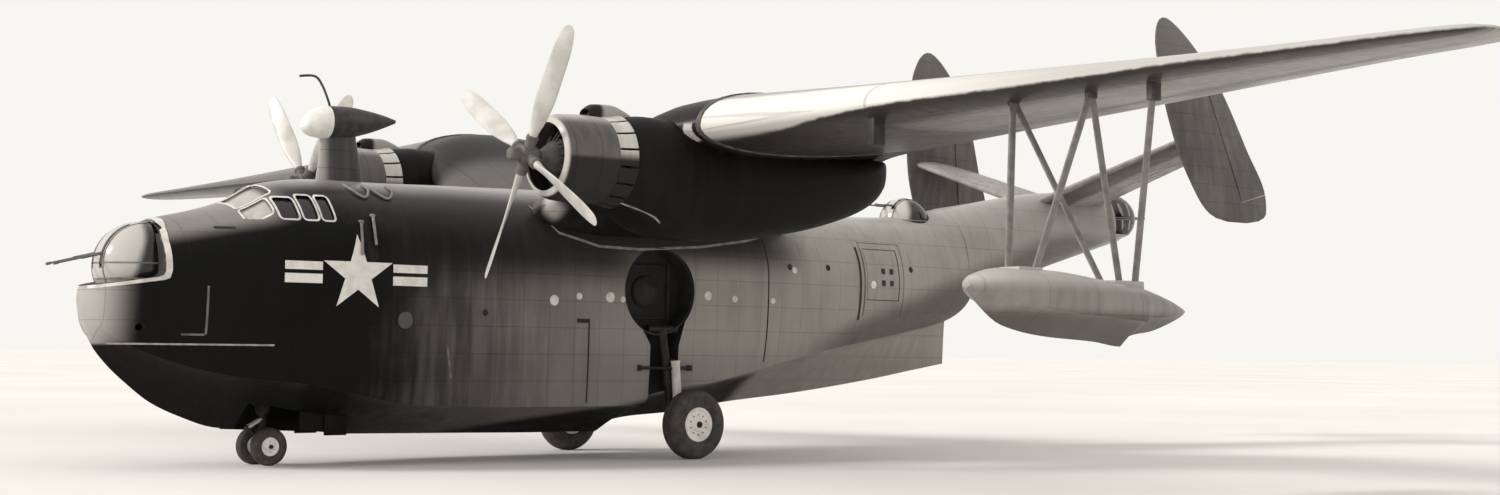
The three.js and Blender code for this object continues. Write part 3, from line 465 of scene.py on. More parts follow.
# Ends of cutters that have to pass right through the side or the bottom
BEYOND_SIDE, BELOW_KEEL = 2.5, 0.3
HATCH = {"start": 15.02, "end": 15.98, "low": 2.90, "high": 3.90, "thickness": 0.045, "room": (0.56, 1.7)}
GUN_NOTCH = {"x": (0.29, 0.64), "end": 1.03, "low": 3.565}
HAWSE = {"x": (0.5, 1.2), "place": (0.64, 2.15), "radius": 0.06}
SIDES = {"left": 1, "right": -1}


def side_block(name, side, xs, ys, zs):
    """A box on one side, from its first and last distance from the middle, station and height."""
    low, high = sorted((side * xs[0], side * xs[1]))
    return block(name, (low, ys[0], zs[0]), (high, ys[1], zs[1]))


def prism(name, outline, xs):
    """An outline of stations and heights, drawn out between two values of x."""
    return loft(name, [[(x, BOW + y, z) for y, z in outline] for x in xs])


def room_below(station, top):
    """The space under a turret's floor, as a cutter."""
    return block("below", (-1, station - 1, top - 1), (1, station + 1, top))


def turret_seat(name):
    """The round seat of a turret, flat below, as a cutter."""
    turret = TURRETS[name]
    seat = ball("seat", (0, turret["station"], turret["height"]), turret["radius"] + BALL_GAP)
    foot = turret["height"] - turret["foot"] - HAIR
    return carve(seat, ("DIFFERENCE", room_below(turret["station"], foot)))


def arch_line(ahead=0.0, above=0.0):
    """Stations and heights from the front of the bow turret's rim back and up its arch."""
    corner = BOW_RIM + RIM_RISE * ARCH_FOOT
    return [(AHEAD_OF_BOW, BOW_RIM - RIM_RISE * 0.5 + above),
            (ARCH_FOOT - 0.10 + ahead, corner - 0.02 + above),
            (ARCH_FOOT - 0.03 + ahead, corner + 0.01 + above),
            (ARCH_FOOT + ahead, corner + 0.08), (ARCH_FOOT + 0.01 + ahead, 3.45),
            (ARCH_FOOT + 0.05 + ahead, 3.66), (ARCH_HEAD + ahead, 3.8), (ARCH_HEAD + 0.06 + ahead, ARCH_TOP)]


def bow_cutaway():
    """The open space ahead of the turret's arch and above its rim."""
    return prism("bow_cutaway", [*arch_line(), (AHEAD_OF_BOW, ARCH_TOP)], (-1.5, 1.5))


def gun_notch(side):
    """The notch in the arch that leaves room for a barrel, as a cutter."""
    heights = (GUN_NOTCH["low"], ARCH_TOP)
    return side_block("gun_notch", side, GUN_NOTCH["x"], (0, GUN_NOTCH["end"]), heights)


def round_turns(count):
    """Even turns round a circle."""
    return np.arange(count) / count * 2 * math.pi


def rod(name, start, end, radius, sides=24, flatten=1.0):
    """A round or flattened rod between two points whose y is a station."""
    a, b = (Vector((x, BOW + y, z)) for x, y, z in (start, end))
    along = (b - a).normalized()
    towards = Vector((0, 1, 0)) if abs(along.y) < 0.9 else Vector((1, 0, 0))
    aft = (towards - along * towards.dot(along)).normalized()
    across = along.cross(aft)
    ring = [across * (radius * flatten * math.cos(t)) + aft * (radius * math.sin(t))
            for t in round_turns(sides)]
    return loft(name, [[end_point + offset for offset in ring] for end_point in (a, b)])


def side_rod(name, side, start, end, *shape):
    """A rod on either side, from its ends on the port side."""
    return rod(name, *((side * x, y, z) for x, y, z in (start, end)), *shape)


def wheel_well(side):
    """Round well for a main wheel, the leg's slot below it and the funnel between, as cutters."""
    place = (WELL["station"], WELL["height"])
    disc = side_rod("well", side, (WELL_FLOOR, *place), (BEYOND_SIDE, *place), WELL["radius"], 72)
    slot_heights = (BELOW_KEEL, WELL["slot_top"])
    slot = side_block("slot", side, (WELL_FLOOR, BEYOND_SIDE), WELL["slot"], slot_heights)
    return disc, slot, prism("funnel", WELL["funnel"], sorted((side * WELL_FLOOR, side * BEYOND_SIDE)))


def hull_slice(name, start, end, grow):
    """The hull's own shape between two stations, grown or shrunk."""
    rows = smooth_rows(HULL, 0.12)
    inside = [row for row in rows if start < row[0] < end]
    stations = [row[0] for row in rows]
    first, last = ([np.interp(at, stations, column) for column in zip(*rows)] for at in (start, end))
    return loft(name, [hull_ring(row, grow) for row in [first, *inside, last]])


def cockpit_space():
    """The room inside the hull from the cockpit's floor up, as a cutter."""
    space = hull_slice("cockpit_space", COCKPIT["start"], COCKPIT["end"], -COCKPIT["wall"])
    room = block("room", (-1.6, 0, COCKPIT["floor"]), (1.6, COCKPIT["end"], 5))
    return carve(space, ("INTERSECT", room))


def canopy_zone(grow):
    """A block round the whole canopy, down to its sill."""
    low = (-1.7, CANOPY["start"] - grow, CANOPY["sill"] - grow)
    return block("canopy_zone", low, (1.7, CANOPY["end"] + grow, 5))


hull = loft("hull_skin", [hull_ring(row) for row in smooth_rows(HULL, 0.12)])
hull.data.materials.append(hull_paint)
cutters = [
    canopy_zone(HAIR), cockpit_space(), bow_cutaway(), turret_seat("bow"), turret_seat("dorsal"),
    block("nose_bay", (-NOSE_BAY["half_width"], NOSE_BAY["start"], BELOW_KEEL),
          (NOSE_BAY["half_width"], NOSE_BAY["end"], NOSE_BAY["roof"])),
]
for side in SIDES.values():
    cutters += wheel_well(side)
    hatch_stations, hatch_heights = (HATCH["start"], HATCH["end"]), (HATCH["low"], HATCH["high"])
    cutters.append(side_block("lobby", side, HATCH["room"], hatch_stations, hatch_heights))
    hawse_ends = [(x, *HAWSE["place"]) for x in HAWSE["x"]]
    cutters.append(side_rod("hawse_hole", side, *hawse_ends, HAWSE["radius"]))
    cutters.append(gun_notch(side))
# The cut faces take the near black painted shade of the bays.
for cutter in cutters:
    cutter.data.materials.append(bay_shade)
carve(hull, *[("DIFFERENCE", cutter) for cutter in cutters])
fit(hull, "airframe", "hull_paint", hull_paint, "hull_bow", "hull_centre", "hull_aft")

tail_cone = loft("tail_cone", [hull_ring(row) for row in smooth_rows(TAIL_CONE, 0.15)])
tail_cone.data.materials.append(hull_paint)
tail_opening = block("tail_opening", (-1, 23.4, 4.6), (1, 25, 6))
carve(tail_cone, ("DIFFERENCE", tail_opening), ("DIFFERENCE", turret_seat("tail")))
fit(tail_cone, "airframe", "hull_paint", hull_paint, "hull_tail")

# Marks on the hull: the star and bars and the pale inspection covers are paint, the rub
# strip at the chine and the seams are thin strips riveted to the skin.
ACROSS = 1.8


def through(name, outline):
    """A prism right across the hull."""
    return prism(name, outline, (-ACROSS, ACROSS))


def joined(name, pieces):
    """One piece from several of the same finish, which are used up."""
    work = bmesh.new()
    for piece in pieces:
        work.from_mesh(piece.data)
    mesh = bpy.data.meshes.new(name)
    work.to_mesh(mesh)
    work.free()
    for finish in pieces[0].data.materials:
        mesh.materials.append(finish)
    for piece in pieces:
        bpy.data.objects.remove(piece)
    return put(name, mesh)


def oval(y, z, radius, sides=20):
    """A round outline."""
    return [(y + radius * math.cos(t), z + radius * math.sin(t)) for t in round_turns(sides)]


def patch(y0, y1, z0, z1):
    """A square outline."""
    return [(y0, z0), (y1, z0), (y1, z1), (y0, z1)]


def ribbon(points, width):
    """A band of one width along a line of stations and heights."""
    return [(y, z - width / 2) for y, z in points] + [(y, z + width / 2) for y, z in reversed(points)]


def skin_marks(name, outlines, proud, finish, start=0.2, end=18.2):
    """Thin marks that follow the hull's skin where outlines cross it."""
    shell = hull_slice(name, start, end, proud)
    shell.data.materials.append(finish)
    prisms = joined("prisms", [through("prism", outline) for outline in outlines])
    carve(shell, ("DIFFERENCE", hull_slice("core", start - 0.1, end + 0.1, -proud)), ("INTERSECT", prisms))
    return fit(shell, "airframe", "hull_paint", finish)


def flat_paint(name, colour, worn, roughness=0.5, scale=6.0):
    """Plain paint with soft wear, for marks and small parts."""
    material, shader, place = new_finish(name, Specular_IOR_Level=0.3)
    clouds = place.noise(scale, 5)
    lay(shader, clouds.smooth(0.35, 0.7).mixed(colour, worn), roughness + clouds * 0.15, clouds, 0.001)
    return material


STAR = {"station": 3.885, "height": 3.025, "radius": 0.63, "waist": 0.2407}
star = []
for k in range(10):
    radius = STAR["waist"] if k % 2 else STAR["radius"]
    turn = k * math.pi / 5
    star.append((STAR["station"] + radius * math.sin(turn), STAR["height"] + radius * math.cos(turn)))
BAR_ENDS = ((2.65, 3.27), (4.50, 5.12))
BAR_HEIGHTS = ((2.865, 3.01), (3.07, 3.20))
bars = [patch(*ends, *heights) for ends in BAR_ENDS for heights in BAR_HEIGHTS]
mark_white = flat_paint("mark_white", tone(0.73, 0.05), tone(0.6, 0.06))
skin_marks("star_and_bars", [star, *bars], 0.004, mark_white, 2, 6)

# Columns: station, height, radius
PALE_SPOTS = [
    (7.59, 2.71, 0.09), (8.10, 2.79, 0.06), (8.75, 2.79, 0.09), (9.02, 2.76, 0.05), (10.91, 2.87, 0.08),
    (11.54, 2.83, 0.06), (12.47, 2.82, 0.055), (13.02, 3.40, 0.06),
]
spots = [oval(*row) for row in PALE_SPOTS]
edges = [patch(1.495, 1.525, 2.05, 2.78), patch(1.18, 1.495, 2.03, 2.06), patch(14.95, 14.965, 2.60, 3.90)]
streak = [(5.50, 1.93), (5.545, 1.93), (5.635, 1.40), (5.59, 1.40)]
grey_marks = flat_paint("mark_grey", tone(0.75, 0.06), tone(0.5, 0.07))
skin_marks("pale_covers", spots, 0.005, grey_marks)
edge_finish = flat_paint("edge_grey", tone(0.15, 0.06), tone(0.07, 0.07))
skin_marks("door_edges", [*edges, streak], 0.005, edge_finish)
patch_finish = flat_paint("patch_grey", tone(0.085), tone(0.06))
skin_marks("round_patch", [oval(4.74, 2.32, 0.135)], 0.005, patch_finish, 4, 6)
FAIRING = [(7.38, 4.30), (7.75, 3.86), (8.54, 3.66), (9.40, 3.64), (10.78, 3.74), (11.92, 3.90), (12.4, 4.02)]
strips = [patch(0.36, 2.53, 1.885, 1.912), ribbon(FAIRING, 0.045)]
skin_marks("rub_strips", strips, 0.012, flat_paint("strip_grey", tone(0.36, 0.07), tone(0.22)))
DARK_DOTS = [(6.23, 2.47, 0.055), (12.90, 3.46, 0.06), (13.93, 3.48, 0.06), (16.34, 3.53, 0.06)]
dark_outlines = [oval(*row) for row in DARK_DOTS] + [
    patch(8.30, 8.33, 0.98, 2.41), patch(8.06, 8.33, 2.34, 2.41), patch(14.80, 14.86, 2.51, 3.92),
    patch(14.94, 14.95, 2.60, 4.02), patch(16.10, 16.11, 2.60, 4.02), patch(14.94, 16.11, 4.01, 4.02),
    patch(1.70, 2.00, 3.66, 3.70), patch(12.34, 12.37, 1.7, 3.95),
]
skin_marks("dark_marks", dark_outlines, 0.003, flat_paint("mark_dark", tone(0.008), tone(0.02)))


# Roof rails and masts: bent tube hand rails behind the cockpit and short raked masts on tube feet,
# welded and painted light grey.
def pipe(name, points, radius, sides=12, steps=8):
    """A round tube on a smooth curve through points, whose y is a station."""
    path = [Vector((x, BOW + y, z)) for x, y, z in points]
    line = []
    for i in range(len(path) - 1):
        before, after = path[max(i - 1, 0)], path[min(i + 2, len(path) - 1)]
        for t in np.arange(steps) / steps if i < len(path) - 2 else np.linspace(0, 1, steps + 1):
            out, back = (path[i + 1] - before) / 2, (after - path[i]) / 2
            spot = path[i] * (2 * t**3 - 3 * t * t + 1) + path[i + 1] * (3 * t * t - 2 * t**3)
            line.append(spot + out * (t**3 - 2 * t * t + t) + back * (t**3 - t * t))
    rings = []
    side = (line[1] - line[0]).orthogonal().normalized()
    for i, spot in enumerate(line):
        along = (line[min(i + 1, len(line) - 1)] - line[max(i - 1, 0)]).normalized()
        side = (side - along * side.dot(along)).normalized()
        across = along.cross(side)
        rings.append([spot + side * (radius * math.cos(t)) + across * (radius * math.sin(t))
                      for t in round_turns(sides)])
    return loft(name, rings)


fitting_paint = flat_paint("fitting_grey", tone(0.24, 0.06), tone(0.14, 0.07))
# Columns: first and last station of a rail
RAILS = [(4.08, 4.41), (4.47, 4.85)]
# Columns: foot and top of a mast on the port side
MASTS = [((1.38, 3.99, 3.86), (1.56, 3.93, 3.33)), ((1.33, 4.22, 3.97), (1.55, 4.17, 3.50))]
rails = []
for side in SIDES.values():
    for y0, y1 in RAILS:
        bent = [(0.60, y0, 4.50), (0.84, y0 + 0.01, 4.41), (1.02, (y0 + y1) / 2, 4.28),
                (0.84, y1 - 0.01, 4.42), (0.60, y1, 4.51)]
        rails.append(pipe("rail", [(side * x, y, z) for x, y, z in bent], 0.022))
    for (x, y, z), top in MASTS:
        rails.append(side_rod("mast", side, (x, y, z), top, 0.024, 12))
        rails.append(side_rod("foot", side, (x - 0.12, y, z), (x + 0.03, y, z), 0.03, 12))
fit(joined("roof_rails_and_masts", rails), "airframe", "hull_paint", fitting_paint)

# Wings: riveted box spar panels. The gull panels rise dark from the hull to the engines, and the
# grey outer panels are bolted on at the joint, with a painted highlight along the leading edge.
CAMBER = 0.28
# Columns: distance from the middle, leading edge station, chord, height, thickness to chord
GULL = [
    (0.15, 7.35, 5.65, 3.70, 0.19), (1.00, 7.36, 5.64, 4.06, 0.19), (1.50, 7.38, 5.62, 4.29, 0.195),
    (2.50, 7.68, 5.50, 4.85, 0.20), (3.20, 7.93, 5.40, 5.23, 0.20), (3.62, 8.08, 5.33, 5.38, 0.195),
    (4.45, 8.30, 5.18, 5.48, 0.19),
]
OUTER = [
    (4.452, 8.30, 5.18, 5.48, 0.19), (10.60, 8.38, 3.30, 5.50, 0.155), (16.30, 8.45, 1.56, 5.52, 0.12),
    (17.20, 8.48, 1.33, 5.522, 0.12), (17.72, 8.55, 1.08, 5.524, 0.12), (17.92, 8.68, 0.82, 5.525, 0.10),
    (17.985, 8.82, 0.52, 5.525, 0.06),
]


def foil_half(share, ratio):
    """Half thickness of a wing section at a share of its chord, as a share of the chord."""
    bow = 0.2969 * share**0.5 - 0.126 * share - 0.3516 * share**2 + 0.2843 * share**3 - 0.1036 * share**4
    return 5 * ratio * bow


def foil_ring(start, chord, ratio, camber, count=24):
    """Points of a section: stations from the leading edge over the top and back, with heights."""
    shares = (1 - np.cos(np.linspace(0, math.pi, count + 1))) / 2
    upper = [(start + t * chord, foil_half(t, ratio) * chord * (1 + camber)) for t in shares]
    lower = [(start + t * chord, -foil_half(t, ratio) * chord * (1 - camber)) for t in shares[1:-1]]
    return upper + lower[::-1]


def wing_panel(name, side, rows, camber=CAMBER, step=0.35):
    """A wing or tail panel over rows like those of the wing."""
    rings = []
    for x, start, chord, height, ratio in smooth_rows(rows, step):
        rings.append([(side * x, BOW + y, height + z) for y, z in foil_ring(start, chord, ratio, camber)])
    return loft(name, rings)


def soften(piece, width):
    """Round a piece's edges."""
    modifier = piece.modifiers.new("soften", "BEVEL")
    modifier.width, modifier.segments = width, 3
    settle(piece)
    return piece


def hinge_prism(name, a, b, up, outlines, trim=0.0):
    """A prism along a hinge line, from one outline of offsets (aft, up) at each of its ends."""
    a, b = (Vector((x, BOW + y, z)) for x, y, z in (a, b))
    along = (b - a).normalized()
    rise = (up - along * up.dot(along)).normalized()
    aft = rise.cross(along)
    aft *= math.copysign(1, aft.y)
    ends = (a + along * trim, b - along * trim)
    return loft(name, [[end + aft * back + rise * lift for back, lift in outline]
                       for end, outline in zip(ends, outlines)])


UP = Vector((0, 0, 1))


def split_surface(name, panel, hinge, up, travel, radii, gap=0.012, trim=0.022):
    """Part a hinged surface from its panel: a round nose on it turns in a cove cut in the panel."""
    a, b = hinge
    far, cove_gap = 1.2, 0.006
    wedge = math.tan(math.radians(travel)) * far
    behind = [(0, 0), (wedge, far), (far * 2, far), (far * 2, -far), (wedge, -far)]
    barrels = [[[(r * math.cos(t), r * math.sin(t)) for t in round_turns(48)] for r in np.array(radii) + grow]
               for grow in (0, cove_gap)]
    zone = hinge_prism("zone", a, b, up, [behind] * 2, trim)
    carve(zone, ("UNION", hinge_prism("barrel", a, b, up, barrels[0], trim)))
    moving = carve(put(name, panel.data.copy()), ("INTERSECT", zone))
    room = [(-gap, -far), (-gap, far), (far * 2, far), (far * 2, -far)]
    carve(panel, ("DIFFERENCE", hinge_prism("room", a, b, up, [room] * 2)),
          ("DIFFERENCE", hinge_prism("cove", a, b, up, barrels[1])))
    return moving


def gull_colour(place, grime):
    """Near black, with painted highlights along the leading edge, on top near the hull and in two patches."""
    x, y, z = place.parts()
    out = abs(x)
    edge = 1 - y.smooth(BOW + 7.75, BOW + 8.35)
    dark = grime.mixed(tone(0.008), tone(0.022))
    # Painted highlight along the leading edge, stronger towards the engine.
    edge_highlight = (edge * out.smooth(1.8, 4.4) * 0.4).mixed(dark, tone(0.10))
    # Painted light on the top of the panel near the hull.
    top = (z - out * 0.53).smooth(3.50, 3.62) * (1 - out.smooth(1.9, 2.6))
    lightened = (top * 0.75).mixed(edge_highlight, tone(0.14, 0.07))
    # Painted highlights: a patch on the leading edge near the hull and one beside the joint strap.
    root_glint = (1 - (abs(out - 1.62)).smooth(0.04, 0.28)) * (1 - y.smooth(BOW + 7.5, BOW + 7.72))
    joint_glint = (1 - (abs(out - 4.24)).smooth(0.07, 0.10)) * (1 - y.smooth(BOW + 8.44, BOW + 8.52))
    joint_glint = joint_glint * (1 - z.smooth(5.50, 5.56)) * z.smooth(5.18, 5.24)
    return (root_glint * 0.85 + joint_glint * 0.8).mixed(lightened, tone(0.6, 0.05))


def outer_colour(place, grime):
    """Grey, with painted shade underneath and a painted highlight along the leading edge, dark bands below,
    and all dark near the engine.
    """
    x, y, z = place.parts()
    out = abs(x)
    lead = y - BOW - 8.25 - out * 0.0127
    share = lead.maths("DIVIDE", 6.54 - out * 0.3055)
    front = 1 - share.smooth(0.30, 0.34)
    # Painted shade: the underside darker than the top.
    below = 1 - (z - front * 0.12).smooth(5.47, 5.50)
    bands = place.stretched(0.12, 5, 1).noise(2.2, 5)
    grey = (grime * 0.5 + bands * 0.5).mixed(tone(0.34, 0.05), tone(0.2, 0.06))
    grey = (below * 0.7).mixed(grey, tone(0.13, 0.08))
    dark_band = below * (1 - (share + bands * 0.16).smooth(0.20, 0.34))
    wavy = share + bands * 0.1
    aft_band = below * wavy.smooth(0.62, 0.68) * (1 - wavy.smooth(0.80, 0.88))
    under = (dark_band * 0.9 + aft_band * 0.45).mixed(grey, tone(0.02, 0.1))
    # Painted highlight along the leading edge, brighter inboard and left dark on the starboard wing.
    line = out.smooth(4.5, 9) * 0.24 + out.smooth(9, 15) * 0.06
    nose = (z - line + grime * 0.02).smooth(5.22, 5.26)
    edge = (1 - (lead - grime * 0.06).smooth(0.25, 0.5)) * nose
    bright = out.smooth(7.5, 13).mixed(tone(0.74, 0.045), tone(0.46, 0.05))
    bright = (1 - x.smooth(-0.5, 0.5)).mixed(bright, tone(0.13, 0.07))
    lit = (edge * 0.9).mixed(under, bright)
    engine = (1 - z.smooth(5.47, 5.50)) * (1 - out.smooth(7.9, 8.35)) * (lead - 0.02).smooth(0.1, 0.35)
    joint = 1 - (abs(out - 8.28)).smooth(0.02, 0.04)
    return (engine * 0.92 + joint * 0.3).mixed(lit, tone(0.03, 0.09))


gull_paint = paint("gull_paint", gull_colour, 0.5, 0.3, seams=(0.6, 0.6))
outer_paint = paint("outer_paint", outer_colour, 0.45, 0.5, seams=(0.55, 50), lines=0.2)
# A hinge line's ends on the port side, the nose's radius at each, and the travel in degrees
AILERON = {"hinge": ((10.65, 10.64, 5.50), (16.20, 9.60, 5.52)), "radii": (0.105, 0.034), "travel": 20,
           "gap": 0.012}
FLAP = {"hinge": ((4.70, 12.20, 5.345), (10.60, 10.94, 5.445)), "radii": (0.17, 0.13), "travel": 0,
        "gap": 0.028}
# Ranges: distance from the middle, station and height of the rack under the outer wing
RACK = ((8.13, 8.27), (8.56, 8.80), (4.92, 5.44))
rack_finish = flat_paint("rack_dark", tone(0.02), tone(0.05))
for word, side in SIDES.items():
    gull = wing_panel(f"gull_wing_{word}", side, GULL, step=0.2)
    fit(gull, "airframe", "wing_paint", gull_paint, f"wing_gull_{word}")
    outer = wing_panel(f"outer_wing_{word}", side, OUTER)
    moving = []
    for surface in (AILERON, FLAP):
        hinge = [(side * x, y, z) for x, y, z in surface["hinge"]]
        moving.append(split_surface("surface", outer, hinge, UP, surface["travel"], surface["radii"],
                                    surface["gap"]))
    fit(outer, "airframe", "wing_paint", outer_paint, f"wing_outer_{word}")
    for piece, kind in zip(moving, ("aileron", "flap")):
        piece.name = f"{kind}_skin_{word}"
        fit(piece, f"{kind}_{word}", "wing_paint", outer_paint, f"{kind}_{word}")
    rack = soften(side_block(f"wing_rack_{word}", side, *RACK), 0.018)
    fit(rack, "airframe", "wing_paint", rack_finish)

# Joint bands: the sheet strap round the wing that covers the bolts between the gull panel and the
# outer one, rolled to the wing's section and thinned at its edges.
strap_finish = flat_paint("strap_dark", tone(0.05), tone(0.11))
# Columns: distance from the middle, how proud the strap stands there
STRAP = [(4.385, 0.0), (4.40, 0.016), (4.50, 0.016), (4.515, 0.0)]
for word, side in SIDES.items():
    rings = []
    for x, grow in STRAP:
        _, start, chord, height, ratio = GULL[-1]
        ring = foil_ring(start - grow, chord + 2 * grow, ratio * (1 + grow * 2), CAMBER)
        rings.append([(side * x, BOW + y, height + z) for y, z in ring])
    fit(loft(f"wing_strap_{word}", rings), "airframe", "wing_paint", strap_finish)

# Nacelles: deep oval bodies of riveted sheet, hung under the wing behind the engines, with a raised
# seam along the lower fairing at the front, painted pale as a highlight.
NACELLE_X, THRUST_Z = 3.62, 4.88
# Columns: station, bottom, top, half width
NACELLE = [
    (7.10, 4.24, 5.53, 0.65), (7.30, 4.06, 5.59, 0.67), (7.70, 3.80, 5.64, 0.69), (8.30, 3.68, 5.62, 0.70),
    (9.34, 3.70, 5.45, 0.69), (10.90, 3.90, 5.35, 0.64), (11.90, 4.14, 5.30, 0.55), (12.60, 4.40, 5.29, 0.43),
    (13.00, 4.70, 5.29, 0.27), (13.16, 5.00, 5.28, 0.12),
]


def oval_ring(x, y, bottom, top, half, power=0.8, sides=64):
    """An oval across the boat, a little squarer than an ellipse."""
    ring = []
    for turn in round_turns(sides):
        out, up = (math.copysign(abs(v) ** power, v) for v in (math.cos(turn), math.sin(turn)))
        ring.append((x + half * out, BOW + y, (top + bottom) / 2 + (top - bottom) / 2 * up))
    return ring


def dark_colour(_, grime):
    """Near black all over."""
    return grime.mixed(tone(0.0035), tone(0.010, 0.08))


dark_paint = paint("nacelle_paint", dark_colour, 0.55, 0.15, seams=(0.7, 0.5))
# The seam is painted pale as a highlight, where the nacelle's lower front catches the light.
seam_highlight_finish = flat_paint("seam_highlight", tone(0.30, 0.07), tone(0.12, 0.08))
# Columns: station, height of the lower fairing's seam
NACELLE_SEAM = [(7.16, 4.22), (7.30, 4.15), (7.45, 4.10), (7.58, 4.05), (7.71, 3.99), (7.84, 3.92)]
for word, side in SIDES.items():
    rings = [oval_ring(side * NACELLE_X, *row) for row in smooth_rows(NACELLE, 0.12)]
    fit(loft(f"nacelle_skin_{word}", rings), "airframe", "nacelle_paint", dark_paint, f"nacelle_{word}")
    seam = []
    for station, height in NACELLE_SEAM:
        row = [np.interp(station, [r[0] for r in NACELLE], [r[k] for r in NACELLE]) for k in (1, 2, 3)]
        lift = (height - (row[0] + row[1]) / 2) / ((row[1] - row[0]) / 2)
        out = row[2] * (1 - min(abs(lift), 1) ** 2.5) ** 0.4
        seam.append((side * (NACELLE_X + out), station, height))
    fit(pipe(f"nacelle_seam_{word}", seam, 0.018), "airframe", "nacelle_paint", seam_highlight_finish)


# Cowls: a spun nose ring, wrap panels and a ring of hinged cooling flaps behind them. The flaps are
# one plate repeated round the thrust line by a small node tree.
def filleted(points, size, steps=4):
    """A line of corners with each inner corner rounded."""
    points = [np.array(p, float) for p in points]
    out = [points[0]]
    for before, corner, after in zip(points, points[1:], points[2:]):
        into, away = before - corner, after - corner
        reach = min(size, np.linalg.norm(into) * 0.45, np.linalg.norm(away) * 0.45)
        if reach < 1e-6:
            out.append(corner)
            continue
        a = corner + into / np.linalg.norm(into) * reach
        b = corner + away / np.linalg.norm(away) * reach
        out += [a * (1 - t) ** 2 + corner * 2 * t * (1 - t) + b * t * t for t in np.linspace(0, 1, steps + 1)]
    return out + [points[-1]]


def turned(name, profile, centre, axis="y", segments=96):
    """A body turned about an axis through centre, from a profile of (radius, distance along it)."""
    points, faces = [], []
    for radius, along in profile:
        for turn in round_turns(segments):
            out, up = radius * math.sin(turn), radius * math.cos(turn)
            place = (out, along, up) if axis == "y" else (along, out, up)
            points.append(tuple(c + p for c, p in zip(centre, place)))
    for r in range(len(profile) - 1):
        for i in range(segments):
            j = (i + 1) % segments
            faces.append((r * segments + i, r * segments + j, (r + 1) * segments + j, (r + 1) * segments + i))
    return new_piece(name, points, faces)


def ring_tree():
    """Node tree that repeats its mesh round the Y axis, tips the ring, and moves it to a place."""
    tree = bpy.data.node_groups.new("ring_of_parts", "GeometryNodeTree")
    face = tree.interface
    face.new_socket("Geometry", in_out="INPUT", socket_type="NodeSocketGeometry")
    for label, kind in (("Count", "NodeSocketInt"), ("First", "NodeSocketFloat"), ("Tip", "NodeSocketVector"),
                        ("Place", "NodeSocketVector"), ("Finish", "NodeSocketMaterial")):
        face.new_socket(label, in_out="INPUT", socket_type=kind)
    face.new_socket("Geometry", in_out="OUTPUT", socket_type="NodeSocketGeometry")
    nodes, link = tree.nodes, tree.links.new
    given, result = nodes.new("NodeGroupInput"), nodes.new("NodeGroupOutput")
    dots = nodes.new("GeometryNodePoints")
    copies = nodes.new("GeometryNodeInstanceOnPoints")
    index = nodes.new("GeometryNodeInputIndex")
    share, step, turn = (nodes.new("ShaderNodeMath") for _ in range(3))
    share.operation, step.operation, turn.operation = "DIVIDE", "MULTIPLY", "ADD"
    angle = nodes.new("ShaderNodeCombineXYZ")
    spun, real = nodes.new("GeometryNodeRotateInstances"), nodes.new("GeometryNodeRealizeInstances")
    placed, dressed = nodes.new("GeometryNodeTransform"), nodes.new("GeometryNodeSetMaterial")
    spun.inputs["Local Space"].default_value = False
    step.inputs[1].default_value = 2 * math.pi
    link(given.outputs["Count"], dots.inputs["Count"])
    link(dots.outputs[0], copies.inputs["Points"])
    link(given.outputs["Geometry"], copies.inputs["Instance"])
    link(index.outputs[0], share.inputs[0])
    link(given.outputs["Count"], share.inputs[1])
    link(share.outputs[0], step.inputs[0])
    link(step.outputs[0], turn.inputs[0])
    link(given.outputs["First"], turn.inputs[1])
    link(turn.outputs[0], angle.inputs["Y"])
    link(copies.outputs[0], spun.inputs["Instances"])
    link(angle.outputs[0], spun.inputs["Rotation"])
    link(spun.outputs[0], real.inputs[0])
    link(real.outputs[0], placed.inputs["Geometry"])
    link(given.outputs["Tip"], placed.inputs["Rotation"])
    link(given.outputs["Place"], placed.inputs["Translation"])
    link(placed.outputs[0], dressed.inputs["Geometry"])
    link(given.outputs["Finish"], dressed.inputs["Material"])
    link(dressed.outputs[0], result.inputs[0])
    return tree


RING = ring_tree()


def ring_of(piece, count, place, finish, first=0.0, tip=(0, 0, 0)):
    """Repeat a piece, made about the origin, in a ring, and leave it a plain mesh."""
    modifier = piece.modifiers.new("ring", "NODES")
    modifier.node_group = RING
    sockets = {item.name: item.identifier for item in RING.interface.items_tree if item.in_out == "INPUT"}
    given = {"Count": count, "First": first, "Tip": tip, "Place": place, "Finish": finish}
    for label, value in given.items():
        modifier[sockets[label]] = value
    settle(piece)
    return piece


def on_thrust_line(side, station=0.0):
    """A point on an engine's axis."""
    return (side * NACELLE_X, BOW + station, THRUST_Z)


# Columns: radius, station
COWL_PROFILE = [
    (0.535, 5.93), (0.62, 5.96), (0.675, 6.10), (0.695, 6.40), (0.695, 6.90), (0.680, 6.90), (0.640, 6.70),
    (0.640, 6.20), (0.535, 5.93),
]
# Columns: station, radius of the outside of a cooling flap
COOLING_FLAP = [(6.88, 0.700), (7.04, 0.718), (7.20, 0.75)]
FLAP_THICKNESS, FLAP_TURNS, COOLING_FLAPS = 0.008, np.linspace(-0.17, 0.17, 8), 16
# Columns: station, half width, rise above the cowl
SCOOP = [(6.66, 0.13, 0.11), (6.78, 0.165, 0.19), (7.10, 0.175, 0.205), (7.40, 0.15, 0.12), (7.62, 0.10, 0.0)]


def cowl_colour(place, grime):
    """Satin sheet with a pale lip, a painted highlight along the top and painted shade below the thrust line.
    """
    _, y, z = place.parts()
    up = z - THRUST_Z
    worn = grime.mixed(tone(0.085, 0.08), tone(0.13, 0.08))
    # Painted shade below the thrust line.
    low = (1 - up.smooth(-0.06, 0.02)).mixed(worn, tone(0.022, 0.1))
    # Painted highlight along the top.
    top = (up.smooth(0.50, 0.66) * 0.85).mixed(low, tone(0.46, 0.06))
    return (1 - y.smooth(BOW + 5.955, BOW + 6.0)).mixed(top, tone(0.5, 0.05))


